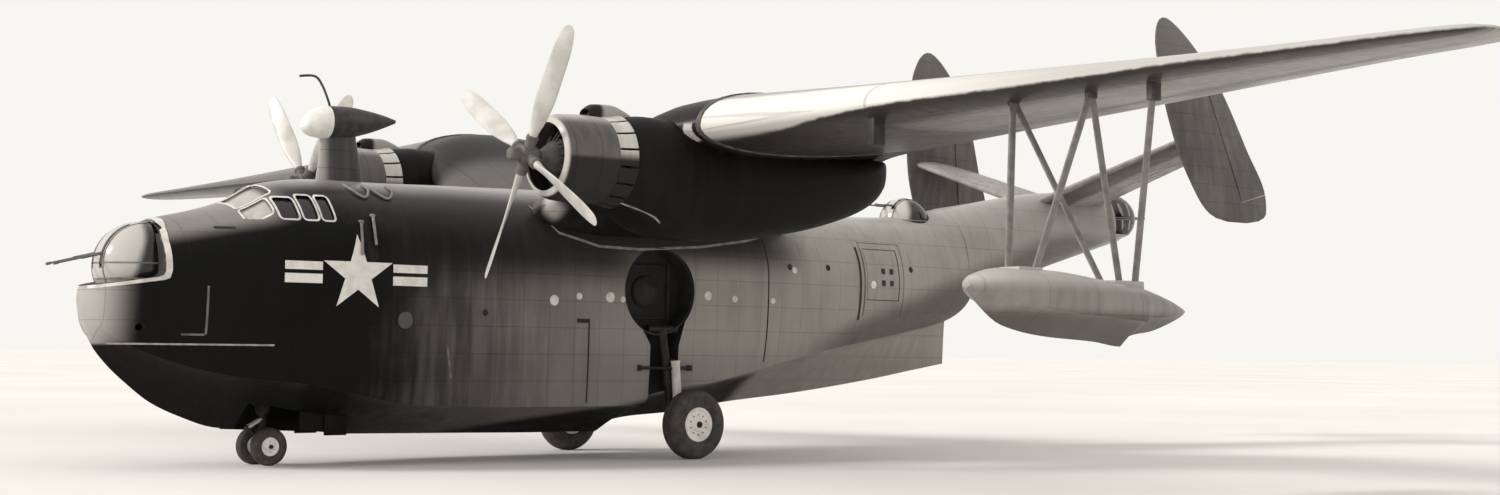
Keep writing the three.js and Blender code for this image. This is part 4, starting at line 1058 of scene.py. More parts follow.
def flap_colour(place, grime):
    """Bare metal above and dark below."""
    z = place.parts()[2]
    bright = grime.mixed(tone(0.62, 0.06), tone(0.45, 0.07))
    return (1 - (z - THRUST_Z).smooth(-0.06, 0.14)).mixed(bright, tone(0.02, 0.1))


def scoop_colour(place, _):
    """Dark round the mouth and pale behind it."""
    y = place.parts()[1]
    return (1 - y.smooth(BOW + 6.86, BOW + 6.96)).mixed(tone(0.33, 0.06), tone(0.015))


cowl_paint = paint("cowl_paint", cowl_colour, 0.4, 0.3, seams=(0.47, 50))
flap_finish = paint("cooling_flap_metal", flap_colour, 0.45, 0.2, lines=0)
scoop_paint = paint("scoop_paint", scoop_colour, 0.45, 0.3, lines=0)
for word, side in SIDES.items():
    centre = on_thrust_line(side)
    cowl = turned(f"cowl_skin_{word}", filleted(COWL_PROFILE, 0.03), centre)
    fit(cowl, "airframe", "nacelle_paint", cowl_paint, f"cowl_{word}", edge=50)
    plate = []
    for y, radius in COOLING_FLAP:
        outside, inside = ([(r * math.sin(t), y, r * math.cos(t)) for t in FLAP_TURNS]
                           for r in (radius, radius - FLAP_THICKNESS))
        plate.append(outside + inside[::-1])
    flap = ring_of(loft(f"cooling_flaps_{word}", plate), COOLING_FLAPS, centre, flap_finish)
    fit(flap, "airframe", "nacelle_paint", flap_finish)
    rings = [oval_ring(side * NACELLE_X, y, THRUST_Z + 0.60, THRUST_Z + 0.695 + rise, half)
             for y, half, rise in smooth_rows(SCOOP, 0.1)]
    scoop = loft(f"intake_scoop_{word}", rings)
    mouth = loft("mouth", [
        oval_ring(side * NACELLE_X, y, THRUST_Z + 0.715, THRUST_Z + 0.80, 0.115) for y in (6.5, 6.95)
    ])
    # The scoop's mouth takes the bays' near black painted shade.
    mouth.data.materials.append(bay_shade)
    scoop.data.materials.append(scoop_paint)
    fit(carve(scoop, ("DIFFERENCE", mouth)), "airframe", "nacelle_paint", scoop_paint)

# Wing floats: small stepped hulls of riveted sheet on five streamlined struts each, which meet the
# wing at three fittings painted near black as the wing's shadow on them.
# Columns: station, keel, chine half width, chine height, half width, shoulder, deck
FLOAT = [
    (6.63, 2.68, 0.04, 2.71, 0.06, 2.74, 2.79), (6.78, 2.54, 0.16, 2.64, 0.20, 2.74, 2.88),
    (7.28, 2.24, 0.37, 2.52, 0.41, 2.72, 2.975), (8.06, 2.11, 0.48, 2.42, 0.51, 2.66, 2.97),
    (9.06, 2.05, 0.50, 2.36, 0.52, 2.60, 2.885), (9.62, 1.99, 0.48, 2.32, 0.50, 2.56, 2.83),
    (9.65, 2.07, 0.47, 2.35, 0.49, 2.56, 2.828), (10.33, 2.22, 0.29, 2.41, 0.32, 2.53, 2.69),
    (10.80, 2.37, 0.11, 2.44, 0.13, 2.50, 2.56), (10.96, 2.44, 0.03, 2.47, 0.04, 2.49, 2.51),
]
FLOAT_X = 12.0
WING_FITTINGS = {"inner": (10.70, 8.90), "middle": (12.10, 8.90), "outer": (13.15, 8.90)}
# Columns: the fitting that a strut hangs from, and its foot's distance from the middle and station
STRUTS = [("inner", (11.86, 7.56)), ("inner", (11.88, 9.38)), ("middle", (12.08, 7.78)),
          ("middle", (12.02, 9.58)), ("outer", (12.12, 9.78))]
# Ranges: distance from the float's middle, station and height of the two blocks under the struts' feet
FEET = [((-0.2, 0.16), (7.44, 7.9), (2.78, 2.995)), ((-0.19, 0.19), (9.28, 9.9), (2.65, 2.875))]
# Columns: half width and lower end of the block at each wing fitting
PADS = [(0.04, 5.30), (0.045, 5.28), (0.05, 5.16)]


def float_colour(place, grime):
    """Grey, with a painted highlight on the deck and painted shade below the chine."""
    z = place.parts()[2]
    grey = grime.mixed(tone(0.26, 0.07), tone(0.20, 0.08))
    # Painted highlight on the deck.
    top = (z.smooth(2.66, 2.86) * 0.8).mixed(grey, tone(0.48, 0.06))
    # Painted shade below the chine.
    return ((1 - z.smooth(2.34, 2.52)) * 0.92).mixed(top, tone(0.085, 0.1))


float_paint = paint("float_paint", float_colour, 0.45, 0.4, seams=(0.9, 0.6), lines=0.15)
strut_finish = flat_paint("strut_grey", tone(0.22, 0.06), tone(0.15, 0.07), 0.4)
# The fittings at the wing are near black, a painted shadow of the wing on them.
pad_shade_finish = flat_paint("pad_shade_dark", tone(0.035), tone(0.08))
for word, side in SIDES.items():
    rings = [[(side * FLOAT_X + x, y, z) for x, y, z in hull_ring(row)] for row in smooth_rows(FLOAT, 0.1)]
    fit(loft(f"float_skin_{word}", rings), "airframe", "float_paint", float_paint, f"float_{word}")
    bars = [side_rod("strut", side, (*WING_FITTINGS[fitting], 5.40), (*foot, 2.84), 0.062, 32, 0.45)
            for fitting, foot in STRUTS]
    feet = [side_block("foot", side, (FLOAT_X + x0, FLOAT_X + x1), ys, zs) for (x0, x1), ys, zs in FEET]
    pads = [block("pad", (side * x - width, y - width * 2, low), (side * x + width, y + width * 2, 5.50))
            for (x, y), (width, low) in zip(WING_FITTINGS.values(), PADS)]
    struts = joined(f"float_struts_{word}_tubes", bars)
    fit(struts, "airframe", "float_paint", strut_finish, f"float_struts_{word}")
    for label, parts, finish in (("feet", feet, float_paint), ("pads", pads, pad_shade_finish)):
        piece = soften(joined(f"float_strut_{label}_{word}", parts), 0.02)
        fit(piece, "airframe", "float_paint", finish)

# Tail: riveted tailplane with a sharp dihedral, and fins on its tips that lean inwards, each with a
# fabric covered rudder.
TAIL_SLOPE = 0.307
# Columns: distance from the middle, leading edge station, chord
TAILPLANE = [(0.12, 20.96, 2.12), (0.80, 21.03, 2.00), (3.78, 21.33, 1.62)]
# Columns: height, first and last station
FIN = [
    (4.66, 22.48, 23.15), (4.72, 22.13, 23.56), (4.88, 21.83, 23.86), (5.27, 21.54, 23.93),
    (6.24, 21.13, 23.51), (7.16, 20.96, 23.09), (7.70, 20.92, 22.78), (8.20, 20.93, 22.33),
    (8.60, 21.03, 21.88), (8.80, 21.18, 21.56), (8.85, 21.29, 21.43),
]
FIN_LEAN, FIN_TOP_X, FIN_TOP_Z = 0.172, 3.42, 8.85
# Room for the rudder in the tailplane's tip: distance from the middle, station, height
RUDDER_ROOM = ((3.56, 4.2), (22.42, 24), (5.5, 7))
# Columns: distance from the middle and station of the elevator's hinge
ELEVATOR_HINGE = [(0.90, 22.33), (3.48, 22.40)]
# Heights of the ends of the rudder's hinge, and the travel of both surfaces in degrees
RUDDER_HINGE, TAIL_TRAVEL = (5.06, 7.90), 25


def tail_height(x):
    """Height of the tailplane at a distance from the middle."""
    return 5.36 + (x - 0.80) * TAIL_SLOPE


def fin_x(z):
    """Distance of a fin from the middle at a height."""
    return FIN_TOP_X + (FIN_TOP_Z - z) * FIN_LEAN


def rudder_point(side, z):
    """A point on the rudder's hinge line at a height."""
    return (side * fin_x(z), 22.46 + (7.02 - z) * 0.239, z)


def fin_colour(place, grime):
    """Dark below and lighter towards the tip."""
    z = place.parts()[2]
    dark = grime.mixed(tone(0.075, 0.09), tone(0.13, 0.08))
    return (z.smooth(6.6, 8.8) * 0.6).mixed(dark, tone(0.18, 0.07))


def tailplane_colour(place, grime):
    """Grey, with a band of painted shade underneath on the port side."""
    x, y, _ = place.parts()
    share = y - BOW - 20.9 - abs(x) * 0.08
    grey = grime.mixed(tone(0.30, 0.06), tone(0.2, 0.07))
    # Painted shade under the port tailplane.
    under = x.smooth(-0.5, 0.5) * share.smooth(0.12, 0.2) * (1 - (share + grime * 0.2).smooth(0.75, 1.0))
    return (under * 0.8).mixed(grey, tone(0.05, 0.08))


fin_paint = paint("fin_paint", fin_colour, 0.5, 0.3, seams=(50, 0.36), lines=0.2)
tail_paint = paint("tailplane_paint", tailplane_colour, 0.5, 0.3, seams=(0.5, 50), lines=0.2)
for word, side in SIDES.items():
    rows = [(x, start, chord, tail_height(x), 0.13) for x, start, chord in TAILPLANE]
    tailplane = wing_panel(f"tailplane_skin_{word}", side, rows, 0.0)
    carve(tailplane, ("DIFFERENCE", side_block("rudder_room", side, *RUDDER_ROOM)))
    hinge = [(side * x, y, tail_height(x)) for x, y in ELEVATOR_HINGE]
    elevator = split_surface(f"elevator_skin_{word}", tailplane, hinge, UP, TAIL_TRAVEL, (0.080, 0.064))
    fit(tailplane, "airframe", "tail_paint", tail_paint, f"tailplane_{word}")
    fit(elevator, f"elevator_{word}", "tail_paint", tail_paint, f"elevator_{word}")
    rings = []
    for z, front, rear in smooth_rows(FIN, 0.12):
        ring = foil_ring(front, rear - front, 0.10, 0.0)
        rings.append([(side * (fin_x(z) + b), BOW + y, z) for y, b in ring])
    fin = loft(f"fin_skin_{word}", rings)
    hinge = [rudder_point(side, z) for z in RUDDER_HINGE]
    rudder = split_surface(f"rudder_skin_{word}", fin, hinge, Vector((side, 0, 0)), TAIL_TRAVEL,
                           (0.086, 0.030), trim=0.006)
    fit(fin, "airframe", "tail_paint", fin_paint, f"fin_{word}")
    fit(rudder, f"rudder_{word}", "tail_paint", fin_paint, f"rudder_{word}")

# Engines: two rows of nine finned steel cylinders on a grey cast crankcase, with a pair of pushrod
# tubes to each front cylinder and a firewall behind. The gearcase carries the propeller shaft.
# Columns: radius, station
ENGINE_CASE = [(0, 5.80), (0.075, 5.80), (0.11, 5.86), (0.23, 6.02), (0.29, 6.16), (0.29, 6.92), (0, 6.92)]
# Columns: station of a row of cylinders, turn of the first one in degrees
CYLINDER_ROWS = [(6.33, 90), (6.70, 110)]
CYLINDERS = 9
# Columns: station, distance from the thrust line of points along a bent exhaust stub
STUB = [(7.02, 0.58), (7.16, 0.66), (7.34, 0.735), (7.44, 0.755)]
STUB_TURNS = (130, 158, 202, 230)
# Columns: radius, station
FIREWALL = [(0, 6.95), (0.598, 6.95), (0.598, 7.24), (0, 7.24)]
# Columns: radius, distance out along the cylinder. The loop adds its cooling fins.
barrel = [(0, 0.20), (0.08, 0.20)]
for start in np.arange(0.24, 0.53, 0.024):
    barrel += [(0.070, start), (0.092, start + 0.004), (0.092, start + 0.010), (0.070, start + 0.014)]
barrel += [(0.084, 0.545), (0.084, 0.565), (0.06, 0.588), (0, 0.588)]
case_finish = flat_paint("crankcase_grey", tone(0.09, 0.06), tone(0.045), 0.4)
cylinder_finish = flat_paint("cylinder_steel", tone(0.05, 0.06), tone(0.022), 0.35)
exhaust_finish = flat_paint("exhaust_rust", tone(0.09, 0.2), tone(0.03, 0.15), 0.6)
for word, side in SIDES.items():
    case = turned(f"engine_case_{word}", filleted(ENGINE_CASE, 0.03), on_thrust_line(side))
    fit(case, "airframe", "engine_metal", case_finish, f"engine_{word}")
    for number, (station, first) in enumerate(CYLINDER_ROWS):
        cylinder = turned(f"cylinders_{number}_{word}", barrel, (0, 0, 0), segments=20)
        cylinder.data.transform(Matrix.Rotation(math.pi / 2, 4, "X"))
        ring_of(cylinder, CYLINDERS, on_thrust_line(side, station), cylinder_finish, math.radians(first))
        fit(cylinder, "airframe", "engine_metal", cylinder_finish)
    tubes = [rod("tube", (x, 6.06, 0.24), (x, 6.25, 0.53), 0.011, 8) for x in (-0.04, 0.04)]
    tubes = joined(f"pushrod_tubes_{word}", tubes)
    ring_of(tubes, CYLINDERS, (side * NACELLE_X, 0, THRUST_Z), case_finish, math.pi / 2)
    fit(tubes, "airframe", "engine_metal", case_finish)
    # The firewall takes the bays' near black painted shade.
    firewall = turned(f"firewall_{word}", FIREWALL, on_thrust_line(side))
    fit(firewall, "airframe", "nacelle_paint", bay_shade)
    stubs = []
    for turn in np.radians(STUB_TURNS):
        bent = [(side * NACELLE_X + r * math.sin(turn), y, THRUST_Z + r * math.cos(turn)) for y, r in STUB]
        stubs.append(pipe("stub", bent, 0.042))
    stubs = joined(f"exhaust_stubs_{word}", stubs)
    fit(stubs, "airframe", "engine_metal", exhaust_finish)

# Propellers: four forged blades in clamped sockets round a steel hub, with the pitch cylinder's
# dome in front.
# Columns: radius, chord, thickness, pitch in degrees
BLADE = [
    (0.09, 0.130, 0.130, 60), (0.33, 0.135, 0.125, 56), (0.60, 0.240, 0.080, 47), (1.05, 0.330, 0.048, 37),
    (1.65, 0.325, 0.030, 29), (2.08, 0.230, 0.016, 24), (2.16, 0.150, 0.011, 22.5), (2.19, 0.06, 0.007, 22),
]
BLADES = 4
FIRST_BLADE = {"left": 58.95, "right": 40.25}
PROPELLER_STATION = 5.59
# Columns: radius, and distance along the thrust line for the hub or out along a blade for its socket
HUB = [
    (0, -0.33), (0.075, -0.33), (0.10, -0.30), (0.105, -0.13), (0.145, -0.12), (0.145, 0.11), (0.13, 0.15),
    (0.09, 0.2095), (0, 0.2095),
]
SOCKET = [(0, 0.08), (0.088, 0.08), (0.088, 0.25), (0.098, 0.26), (0.098, 0.31), (0.08, 0.33), (0, 0.33)]


def blade_ring(radius, chord, thickness, pitch, sides=28):
    """The section of a blade at a radius."""
    turn = math.radians(pitch)
    ring = []
    for around in round_turns(sides):
        across, out = chord / 2 * math.cos(around), thickness / 2 * math.sin(around)
        ring.append((across * math.cos(turn) - out * math.sin(turn),
                     across * math.sin(turn) + out * math.cos(turn), radius))
    return ring


blade_finish = flat_paint("blade_metal", tone(0.56, 0.05), tone(0.42, 0.06), 0.3, 3)
hub_finish = flat_paint("hub_steel", tone(0.13, 0.07), tone(0.07, 0.08), 0.55)
for word, side in SIDES.items():
    place = on_thrust_line(side, PROPELLER_STATION)
    first = math.radians(90 - FIRST_BLADE[word])
    blades = loft(f"blades_{word}", [blade_ring(*row) for row in smooth_rows(BLADE, 0.07)])
    ring_of(blades, BLADES, place, blade_finish, first)
    fit(blades, f"propeller_{word}", "blade_metal", blade_finish, f"propeller_{word}")
    sockets = turned(f"blade_sockets_{word}", SOCKET, (0, 0, 0), segments=40)
    sockets.data.transform(Matrix.Rotation(math.pi / 2, 4, "X"))
    ring_of(sockets, BLADES, place, hub_finish, first)
    fit(sockets, f"propeller_{word}", "blade_metal", hub_finish)
    hub = turned(f"propeller_hub_{word}", filleted(HUB, 0.02), place, segments=48)
    fit(hub, f"propeller_{word}", "blade_metal", hub_finish)

# Canopy: pressed frames over the cockpit with rubber-set windows behind pale painted trims, and a
# thin inner skin of glazing.
# Columns: first station, last station, lowest z, highest z of the windows through both sides
SIDE_WINDOWS = [(2.70, 2.98, 3.86, 4.20), (3.06, 3.29, 3.86, 4.25), (3.36, 3.56, 3.86, 4.25)]
# Columns: first x, last x, first station, last station of the windows in the sloping front
FRONT_WINDOWS = [(-1.10, -0.76, 2.20, 2.62), (-0.68, -0.04, 2.20, 2.76), (0.04, 0.68, 2.20, 2.76),
                 (0.76, 1.10, 2.20, 2.62)]
CANOPY_EDGE, GLASS_DEPTH, GLASS_THICKNESS, TRIM = 0.06, 0.03, 0.006, 0.028


def rounded(a0, a1, b0, b1, grow=0.0, radius=0.045, steps=5):
    """A rectangle with round corners, as points."""
    ring = []
    reach = radius + grow
    for a, b, first in ((a1, b1, 0), (a0, b1, 1), (a0, b0, 2), (a1, b0, 3)):
        middle_a = a - radius if a == a1 else a + radius
        middle_b = b - radius if b == b1 else b + radius
        for turn in (np.arange(steps + 1) / steps + first) * math.pi / 2:
            ring.append((middle_a + reach * math.cos(turn), middle_b + reach * math.sin(turn)))
    return ring


def windows(grow=0.0):
    """All the window openings, as one cutter."""
    holes = [through("hole", rounded(*row, grow)) for row in SIDE_WINDOWS]
    for row in FRONT_WINDOWS:
        ring = rounded(*row, grow)
        holes.append(loft("hole", [[(x, BOW + y, z) for x, y in ring] for z in (3.83, 5.0)]))
    return [("DIFFERENCE", hole) for hole in holes]


frame_skin = hull_slice("canopy_frame_skin", CANOPY["start"], CANOPY["end"], 0)
inner = hull_slice("inner", CANOPY["start"] + CANOPY_EDGE, CANOPY["end"] - CANOPY_EDGE, -COCKPIT["wall"])
carve(frame_skin, ("INTERSECT", canopy_zone(0)), ("DIFFERENCE", inner), *windows())
fit(frame_skin, "airframe", "canopy_paint", hull_paint, "canopy_frame")

trims = hull_slice("window_trims", CANOPY["start"] + 0.02, CANOPY["end"] - 0.02, 0.007)
core = hull_slice("core", CANOPY["start"], CANOPY["end"], -0.012)
grown = joined("grown", [cutter for _, cutter in windows(TRIM)])
carve(trims, ("DIFFERENCE", core), ("INTERSECT", canopy_zone(-0.02)), ("INTERSECT", grown), *windows())
trim_finish = flat_paint("trim_pale", tone(0.72, 0.05), tone(0.5, 0.06), 0.4)
fit(trims, "airframe", "canopy_paint", trim_finish)

glass_finish, shader, place = new_finish("window_glass", Coat_Weight=0.6, Coat_Roughness=0.04)
film = place.noise(5, 4)
# Painted reflection: the sloping front panes pale, the other panes near black.
front = 1 - place.parts()[1].smooth(BOW + 2.6, BOW + 2.75)
lay(shader, (front * 0.9).mixed(tone(0.02), tone(0.7)), 0.06 + film * 0.06)
film.feed(shader.inputs["Alpha"], 0.3 + film * 0.25 + front * 0.1)
start, end = CANOPY["start"] + CANOPY_EDGE, CANOPY["end"] - CANOPY_EDGE
pane = hull_slice("canopy_panes", start - 0.04, end + 0.04, -GLASS_DEPTH)
inside = hull_slice("inside", start - 0.06, end + 0.06, -GLASS_DEPTH - GLASS_THICKNESS)
carve(pane, ("DIFFERENCE", inside), ("INTERSECT", canopy_zone(-0.03)))
fit(pane, "airframe", "glazing", glass_finish, "canopy_glass")

# Cockpit: two bucket seats of pressed sheet on tube frames, control columns with wheels, and a
# panel of plain dials under the glare shield.
seat_finish = flat_paint("seat_sheet", tone(0.06, 0.1), tone(0.035, 0.1), 0.55)
panel_finish = flat_paint("panel_black", tone(0.012), tone(0.022), 0.6)
dial_finish = flat_paint("dial_face", tone(0.30, 0.05), tone(0.22, 0.06), 0.3)
SEAT_X, PANEL_STATION = 0.46, 2.36
# Columns: half width, ranges of station and height, edge radius of a seat's pan, back and head rest
SEAT = [(0.22, (2.98, 3.42), (3.10, 3.20), 0.04), (0.21, (3.36, 3.45), (3.18, 3.86), 0.04),
        (0.11, (3.35, 3.43), (3.88, 4.04), 0.035)]
CONTROL_WHEEL = {"station": 2.66, "height": 3.50, "radius": 0.16, "rim": 0.014}
seats, dials = [], []
for side in SIDES.values():
    x = side * SEAT_X
    for half, (y0, y1), (z0, z1), edge in SEAT:
        seats.append(soften(block("seat", (x - half, y0, z0), (x + half, y1, z1)), edge))
    for leg_y in (3.02, 3.40):
        for leg_x in (x - 0.18, x + 0.18):
            seats.append(rod("leg", (leg_x, leg_y, COCKPIT["floor"]), (leg_x, leg_y, 3.12), 0.018, 10))
    wheel_y, wheel_z, rim = CONTROL_WHEEL["station"], CONTROL_WHEEL["height"], CONTROL_WHEEL["rim"]
    wide = CONTROL_WHEEL["radius"]
    seats.append(rod("column", (x, 2.74, COCKPIT["floor"]), (x, wheel_y, 3.46), 0.026, 12))
    tube = [(wide + rim * math.cos(t), rim * math.sin(t)) for t in np.linspace(0, 2 * math.pi, 9)]
    seats.append(turned("wheel", tube, (x, BOW + wheel_y, wheel_z), segments=32))
    seats.append(rod("spoke", (x - wide, wheel_y, wheel_z), (x + wide, wheel_y, wheel_z), 0.012, 8))
fit(joined("seats_and_columns", seats), "airframe", "canopy_paint", seat_finish)
board = block("instrument_panel", (-0.82, PANEL_STATION - 0.10, 3.28), (0.82, PANEL_STATION, 3.70))
shield = block("glare_shield", (-0.86, PANEL_STATION - 0.14, 3.69), (0.86, PANEL_STATION + 0.10, 3.73))
board, shield = soften(board, 0.03), soften(shield, 0.015)
for x in np.arange(-0.7, 0.71, 0.14):
    for z in (3.40, 3.57):
        dials.append(rod("dial", (x, PANEL_STATION - 0.01, z), (x, PANEL_STATION + 0.008, z), 0.052, 20))
fit(joined("panel_and_shield", [board, shield]), "airframe", "canopy_paint", panel_finish)
fit(joined("panel_dials", dials), "airframe", "canopy_paint", dial_finish)

# Turrets: moulded clear domes on a turning ring, with alloy ribs, two gun slots, and a cradle of
# plates inside that holds the guns' trunnion.
dome_finishes = {}
for name, turret in TURRETS.items():
    finish_name = f"{name}_dome_glass"
    dome_finishes[name], shader, place = new_finish(finish_name, Coat_Weight=0.6, Coat_Roughness=0.06)
    haze = place.noise(1.6, 4)
    _, y, z = place.parts()
    # Painted light and shade: each dome pale at its front and top, and near black and clearer low at its
    # rear.
    rear = (y - BOW - turret["station"]) * turret["ahead"] - (z - turret["height"]) * 0.3 + haze * 0.08
    clear = rear.smooth(-0.30, -0.16)
    lay(shader, clear.mixed(tone(0.6, 0.06), tone(0.012)), 0.1 + haze * 0.1)
    haze.feed(shader.inputs["Alpha"], 0.72 - clear * 0.17)
rib_finish = flat_paint("rib_alloy", tone(0.22, 0.06), tone(0.12, 0.06), 0.45)
cradle_finish = flat_paint("cradle_dark", tone(0.02), tone(0.05), 0.5)
gun_finish = flat_paint("gun_steel", tone(0.10, 0.06), tone(0.17, 0.06), 0.35)
DOME_WALL, BEYOND_DOME = 0.008, 1.8


def gun_slot(turret, side):
    """The sector that a barrel sweeps, out to well beyond the dome."""
    half = turret["gun"] + 0.009
    clear = half / math.cos(math.radians(20))
    axis_z = turret["height"] + turret["trunnion"]
    low, high = turret["travel"]
    back = turret["station"] + turret["ahead"] * clear
    outline = [(back, axis_z - clear)]
    for angle in (low - 4, (low + high) / 2, high + 4):
        turn = math.radians(angle - turret["droop"])
        outline.append((turret["station"] - turret["ahead"] * BEYOND_DOME * math.cos(turn),
                        axis_z + BEYOND_DOME * math.sin(turn)))
    outline.append((back, axis_z + clear))
    x = side * turret["gun_x"]
    return prism("slot", outline, (x - half, x + half))


def dome_cuts(turret):
    """The room under a dome's floor and its two gun slots, as cuts."""
    cutters = [room_below(turret["station"], turret["height"] - turret["foot"])]
    cutters += [gun_slot(turret, side) for side in SIDES.values()]
    return [("DIFFERENCE", cutter) for cutter in cutters]


def hoop(centre, radius, offset, width, axis):
    """A flat rib round a dome, at an offset along the x or the z axis."""
    at = math.sqrt(radius**2 - offset**2)
    band = [(at - 0.010, offset - width), (at + 0.004, offset - width), (at + 0.004, offset + width),
            (at - 0.010, offset + width), (at - 0.010, offset - width)]
    rib = turned("rib", band, (0, 0, 0), "x")
    if axis == "z":
        rib.data.transform(Matrix.Rotation(-math.pi / 2, 4, "Y"))
    rib.data.transform(Matrix.Translation((centre[0], BOW + centre[1], centre[2])))
    return rib


# Columns: start and end of a barrel's parts as shares of its reach, radius as a share of the gun's
BARREL = [(-0.08, 0.30, 1), (0.30, 0.70, 0.92), (0.28, 0.31, 1), (0.69, 0.96, 0.62), (0.95, 1.0, 0.85)]
for name, turret in TURRETS.items():
    station, height, radius, foot, trunnion, gun_x, gun, droop, reach, ahead, _ = turret.values()
    centre = (0, station, height)
    floor_z, axis_z = height - foot, height + trunnion
    cuts = dome_cuts(turret)
    dome = ball(f"{name}_dome", centre, radius)
    carve(dome, ("DIFFERENCE", ball("hollow", centre, radius - DOME_WALL)), *cuts)
    fit(dome, f"{name}_turret", "glazing", dome_finishes[name], f"{name}_turret")
    rib_x = gun_x + gun + 0.03
    ribs = [hoop(centre, radius, side * rib_x, 0.014, "x") for side in SIDES.values()]
    ribs += [hoop(centre, radius, trunnion * share, 0.012, "z") for share in (-0.6, 0.1)]
    ribs = carve(joined(f"{name}_dome_ribs", ribs), *dome_cuts(turret))
    fit(ribs, f"{name}_turret", "glazing", rib_finish)
    ring = math.sqrt(radius**2 - foot**2) - 0.02
    parts = [rod("floor", (0, station, floor_z), (0, station, floor_z + 0.03), ring, 64)]
    plate_xs, plate_ys = (gun_x + gun + 0.066, gun_x + gun + 0.084), (station - 0.09, station + 0.09)
    for side in SIDES.values():
        parts.append(soften(side_block("plate", side, plate_xs, plate_ys, (floor_z, axis_z + 0.07)), 0.006))
    armour_y = station + ahead * 0.25
    armour = block("armour", (-0.2, armour_y - 0.01, floor_z), (0.2, armour_y + 0.01, axis_z - 0.08))
    parts.append(soften(armour, 0.006))
    fit(joined(f"{name}_cradle", parts), f"{name}_turret", "glazing", cradle_finish)
    turn = math.radians(droop)
    reach = reach - gun * math.sin(turn)
    end_x = gun_x + gun + 0.06
    parts = [rod("trunnion", (-end_x, station, axis_z), (end_x, station, axis_z), 0.04, 24)]
    for side in SIDES.values():
        for first, last, thick in BARREL:
            ends = [(gun_x, station - ahead * reach * share, axis_z - reach * share * math.tan(turn))
                    for share in (first, last)]
            parts.append(side_rod("barrel", side, *ends, gun * thick, 20))
    fit(joined(f"{name}_gun_pair", parts), f"{name}_guns", "gun_metal", gun_finish, f"{name}_guns")

# Bow arch: a rolled alloy lip round the open space for the bow turret, riveted along the edge of
# the skin.
arch_shell = hull_slice("bow_arch_lip", 0.08, 2.4, 0.012)
arch_core = hull_slice("core", 0.07, 2.5, -0.03)
lip = through("lip", [*arch_line(0.0, -0.001), *reversed(arch_line(0.075, -0.045))])
notches = [("DIFFERENCE", gun_notch(side)) for side in SIDES.values()]
carve(arch_shell, ("DIFFERENCE", arch_core), ("INTERSECT", lip), *notches)
fit(arch_shell, "airframe", "hull_paint", flat_paint("lip_pale", tone(0.62, 0.06), tone(0.45, 0.07), 0.4))

# Radar: a teardrop pod of moulded plastic on a streamlined alloy pylon over the cockpit, with a
# bent tube mast for the wire aerials.
# Columns: height, station of the middle, half chord, half width
PYLON = [(4.45, 4.33, 0.445, 0.152), (4.80, 4.33, 0.40, 0.13), (5.25, 4.30, 0.33, 0.105),
         (5.45, 4.29, 0.31, 0.098)]
# Columns: station, height of the middle, radius
RADOME = [
    (3.61, 5.45, 0.02), (3.68, 5.48, 0.13), (3.84, 5.52, 0.225), (4.08, 5.55, 0.272), (4.40, 5.572, 0.265),
    (4.78, 5.605, 0.200), (5.10, 5.638, 0.115), (5.35, 5.662, 0.03),
]
RADOME_JOINT = 4.08
MAST = [(0, 4.14, 5.76), (0, 4.115, 5.88), (0, 3.99, 6.15), (0, 3.85, 6.29), (0, 3.58, 6.27)]


def pod_slice(name, start, end):
    """The pod's round body between two stations of its rows."""
    rows = [row for row in smooth_rows(RADOME, 0.04) if start - 1e-6 <= row[0] <= end + 1e-6]
    return loft(name, [[(r * math.cos(t), BOW + y, z + r * math.sin(t)) for t in round_turns(56)]
                       for y, z, r in rows])


def pylon_colour(place, grime):
    """Dark, with a pale leading edge."""
    y = place.parts()[1]
    grey = grime.mixed(tone(0.075, 0.07), tone(0.045, 0.08))
    return ((1 - y.smooth(BOW + 3.98, BOW + 4.12)) * 0.8).mixed(grey, tone(0.42, 0.05))


rings = [[(half_width * math.sin(t), BOW + y - half_chord * math.cos(t), z) for t in round_turns(48)]
         for z, y, half_chord, half_width in smooth_rows(PYLON, 0.08)]
pylon_paint = paint("pylon_paint", pylon_colour, seams=(0.4, 0.3))
fit(loft("pylon_skin", rings), "airframe", "hull_paint", pylon_paint, "radar_pylon")
radome_white = flat_paint("radome_white", tone(0.82, 0.05), tone(0.68, 0.05), 0.4)
radome_dark = flat_paint("radome_dark", tone(0.03, 0.08), tone(0.06, 0.08), 0.4)
nose = pod_slice("radome_shell", RADOME[0][0], RADOME_JOINT)
fit(nose, "airframe", "radome_white", radome_white, "radome_nose")
pod = pod_slice("pod", RADOME_JOINT, RADOME[-1][0])
mast = pipe("mast", MAST, 0.02, 16)
fit(joined("pod_and_mast", [pod, mast]), "airframe", "radome_black", radome_dark, "radome_body")

# Wheels: low pressure tyres with a few shallow grooves, on cast discs painted pale that are held by
# a ring of bolts round the bearing.
MAIN_WHEEL = {"x": 1.91, "station": 10.29, "radius": 0.603, "width": 0.43, "rim": 0.30, "axle": 0.0556}
NOSE_WHEEL = {"x": 0.25, "station": 3.05, "radius": 0.30, "width": 0.19, "rim": 0.15, "axle": 0.0326}


def tyre_profile(wheel, grooves):
    """A tyre's outline, as radius and distance from its middle plane, with grooves in its tread."""
    half, rim, radius = wheel["width"] / 2, wheel["rim"], wheel["radius"]
    wall = radius - rim
    flank = [(rim, half * 0.72), (rim + wall * 0.12, half * 0.86), (rim + wall * 0.45, half),
             (radius - wall * 0.15, half * 0.8), (radius, half * 0.4)]
    shoulder = [tuple(p) for p in filleted([*flank, (radius, 0)], wall * 0.3, 7)[:-1]]
    tread = []
    for at in np.linspace(0.34, -0.34, grooves) * half:
        tread += [(radius, at + 0.005), (radius - 0.007, at + 0.003), (radius - 0.007, at - 0.003),
                  (radius, at - 0.005)]
    return shoulder + tread + [(r, -a) for r, a in reversed(shoulder)] + [shoulder[0]]


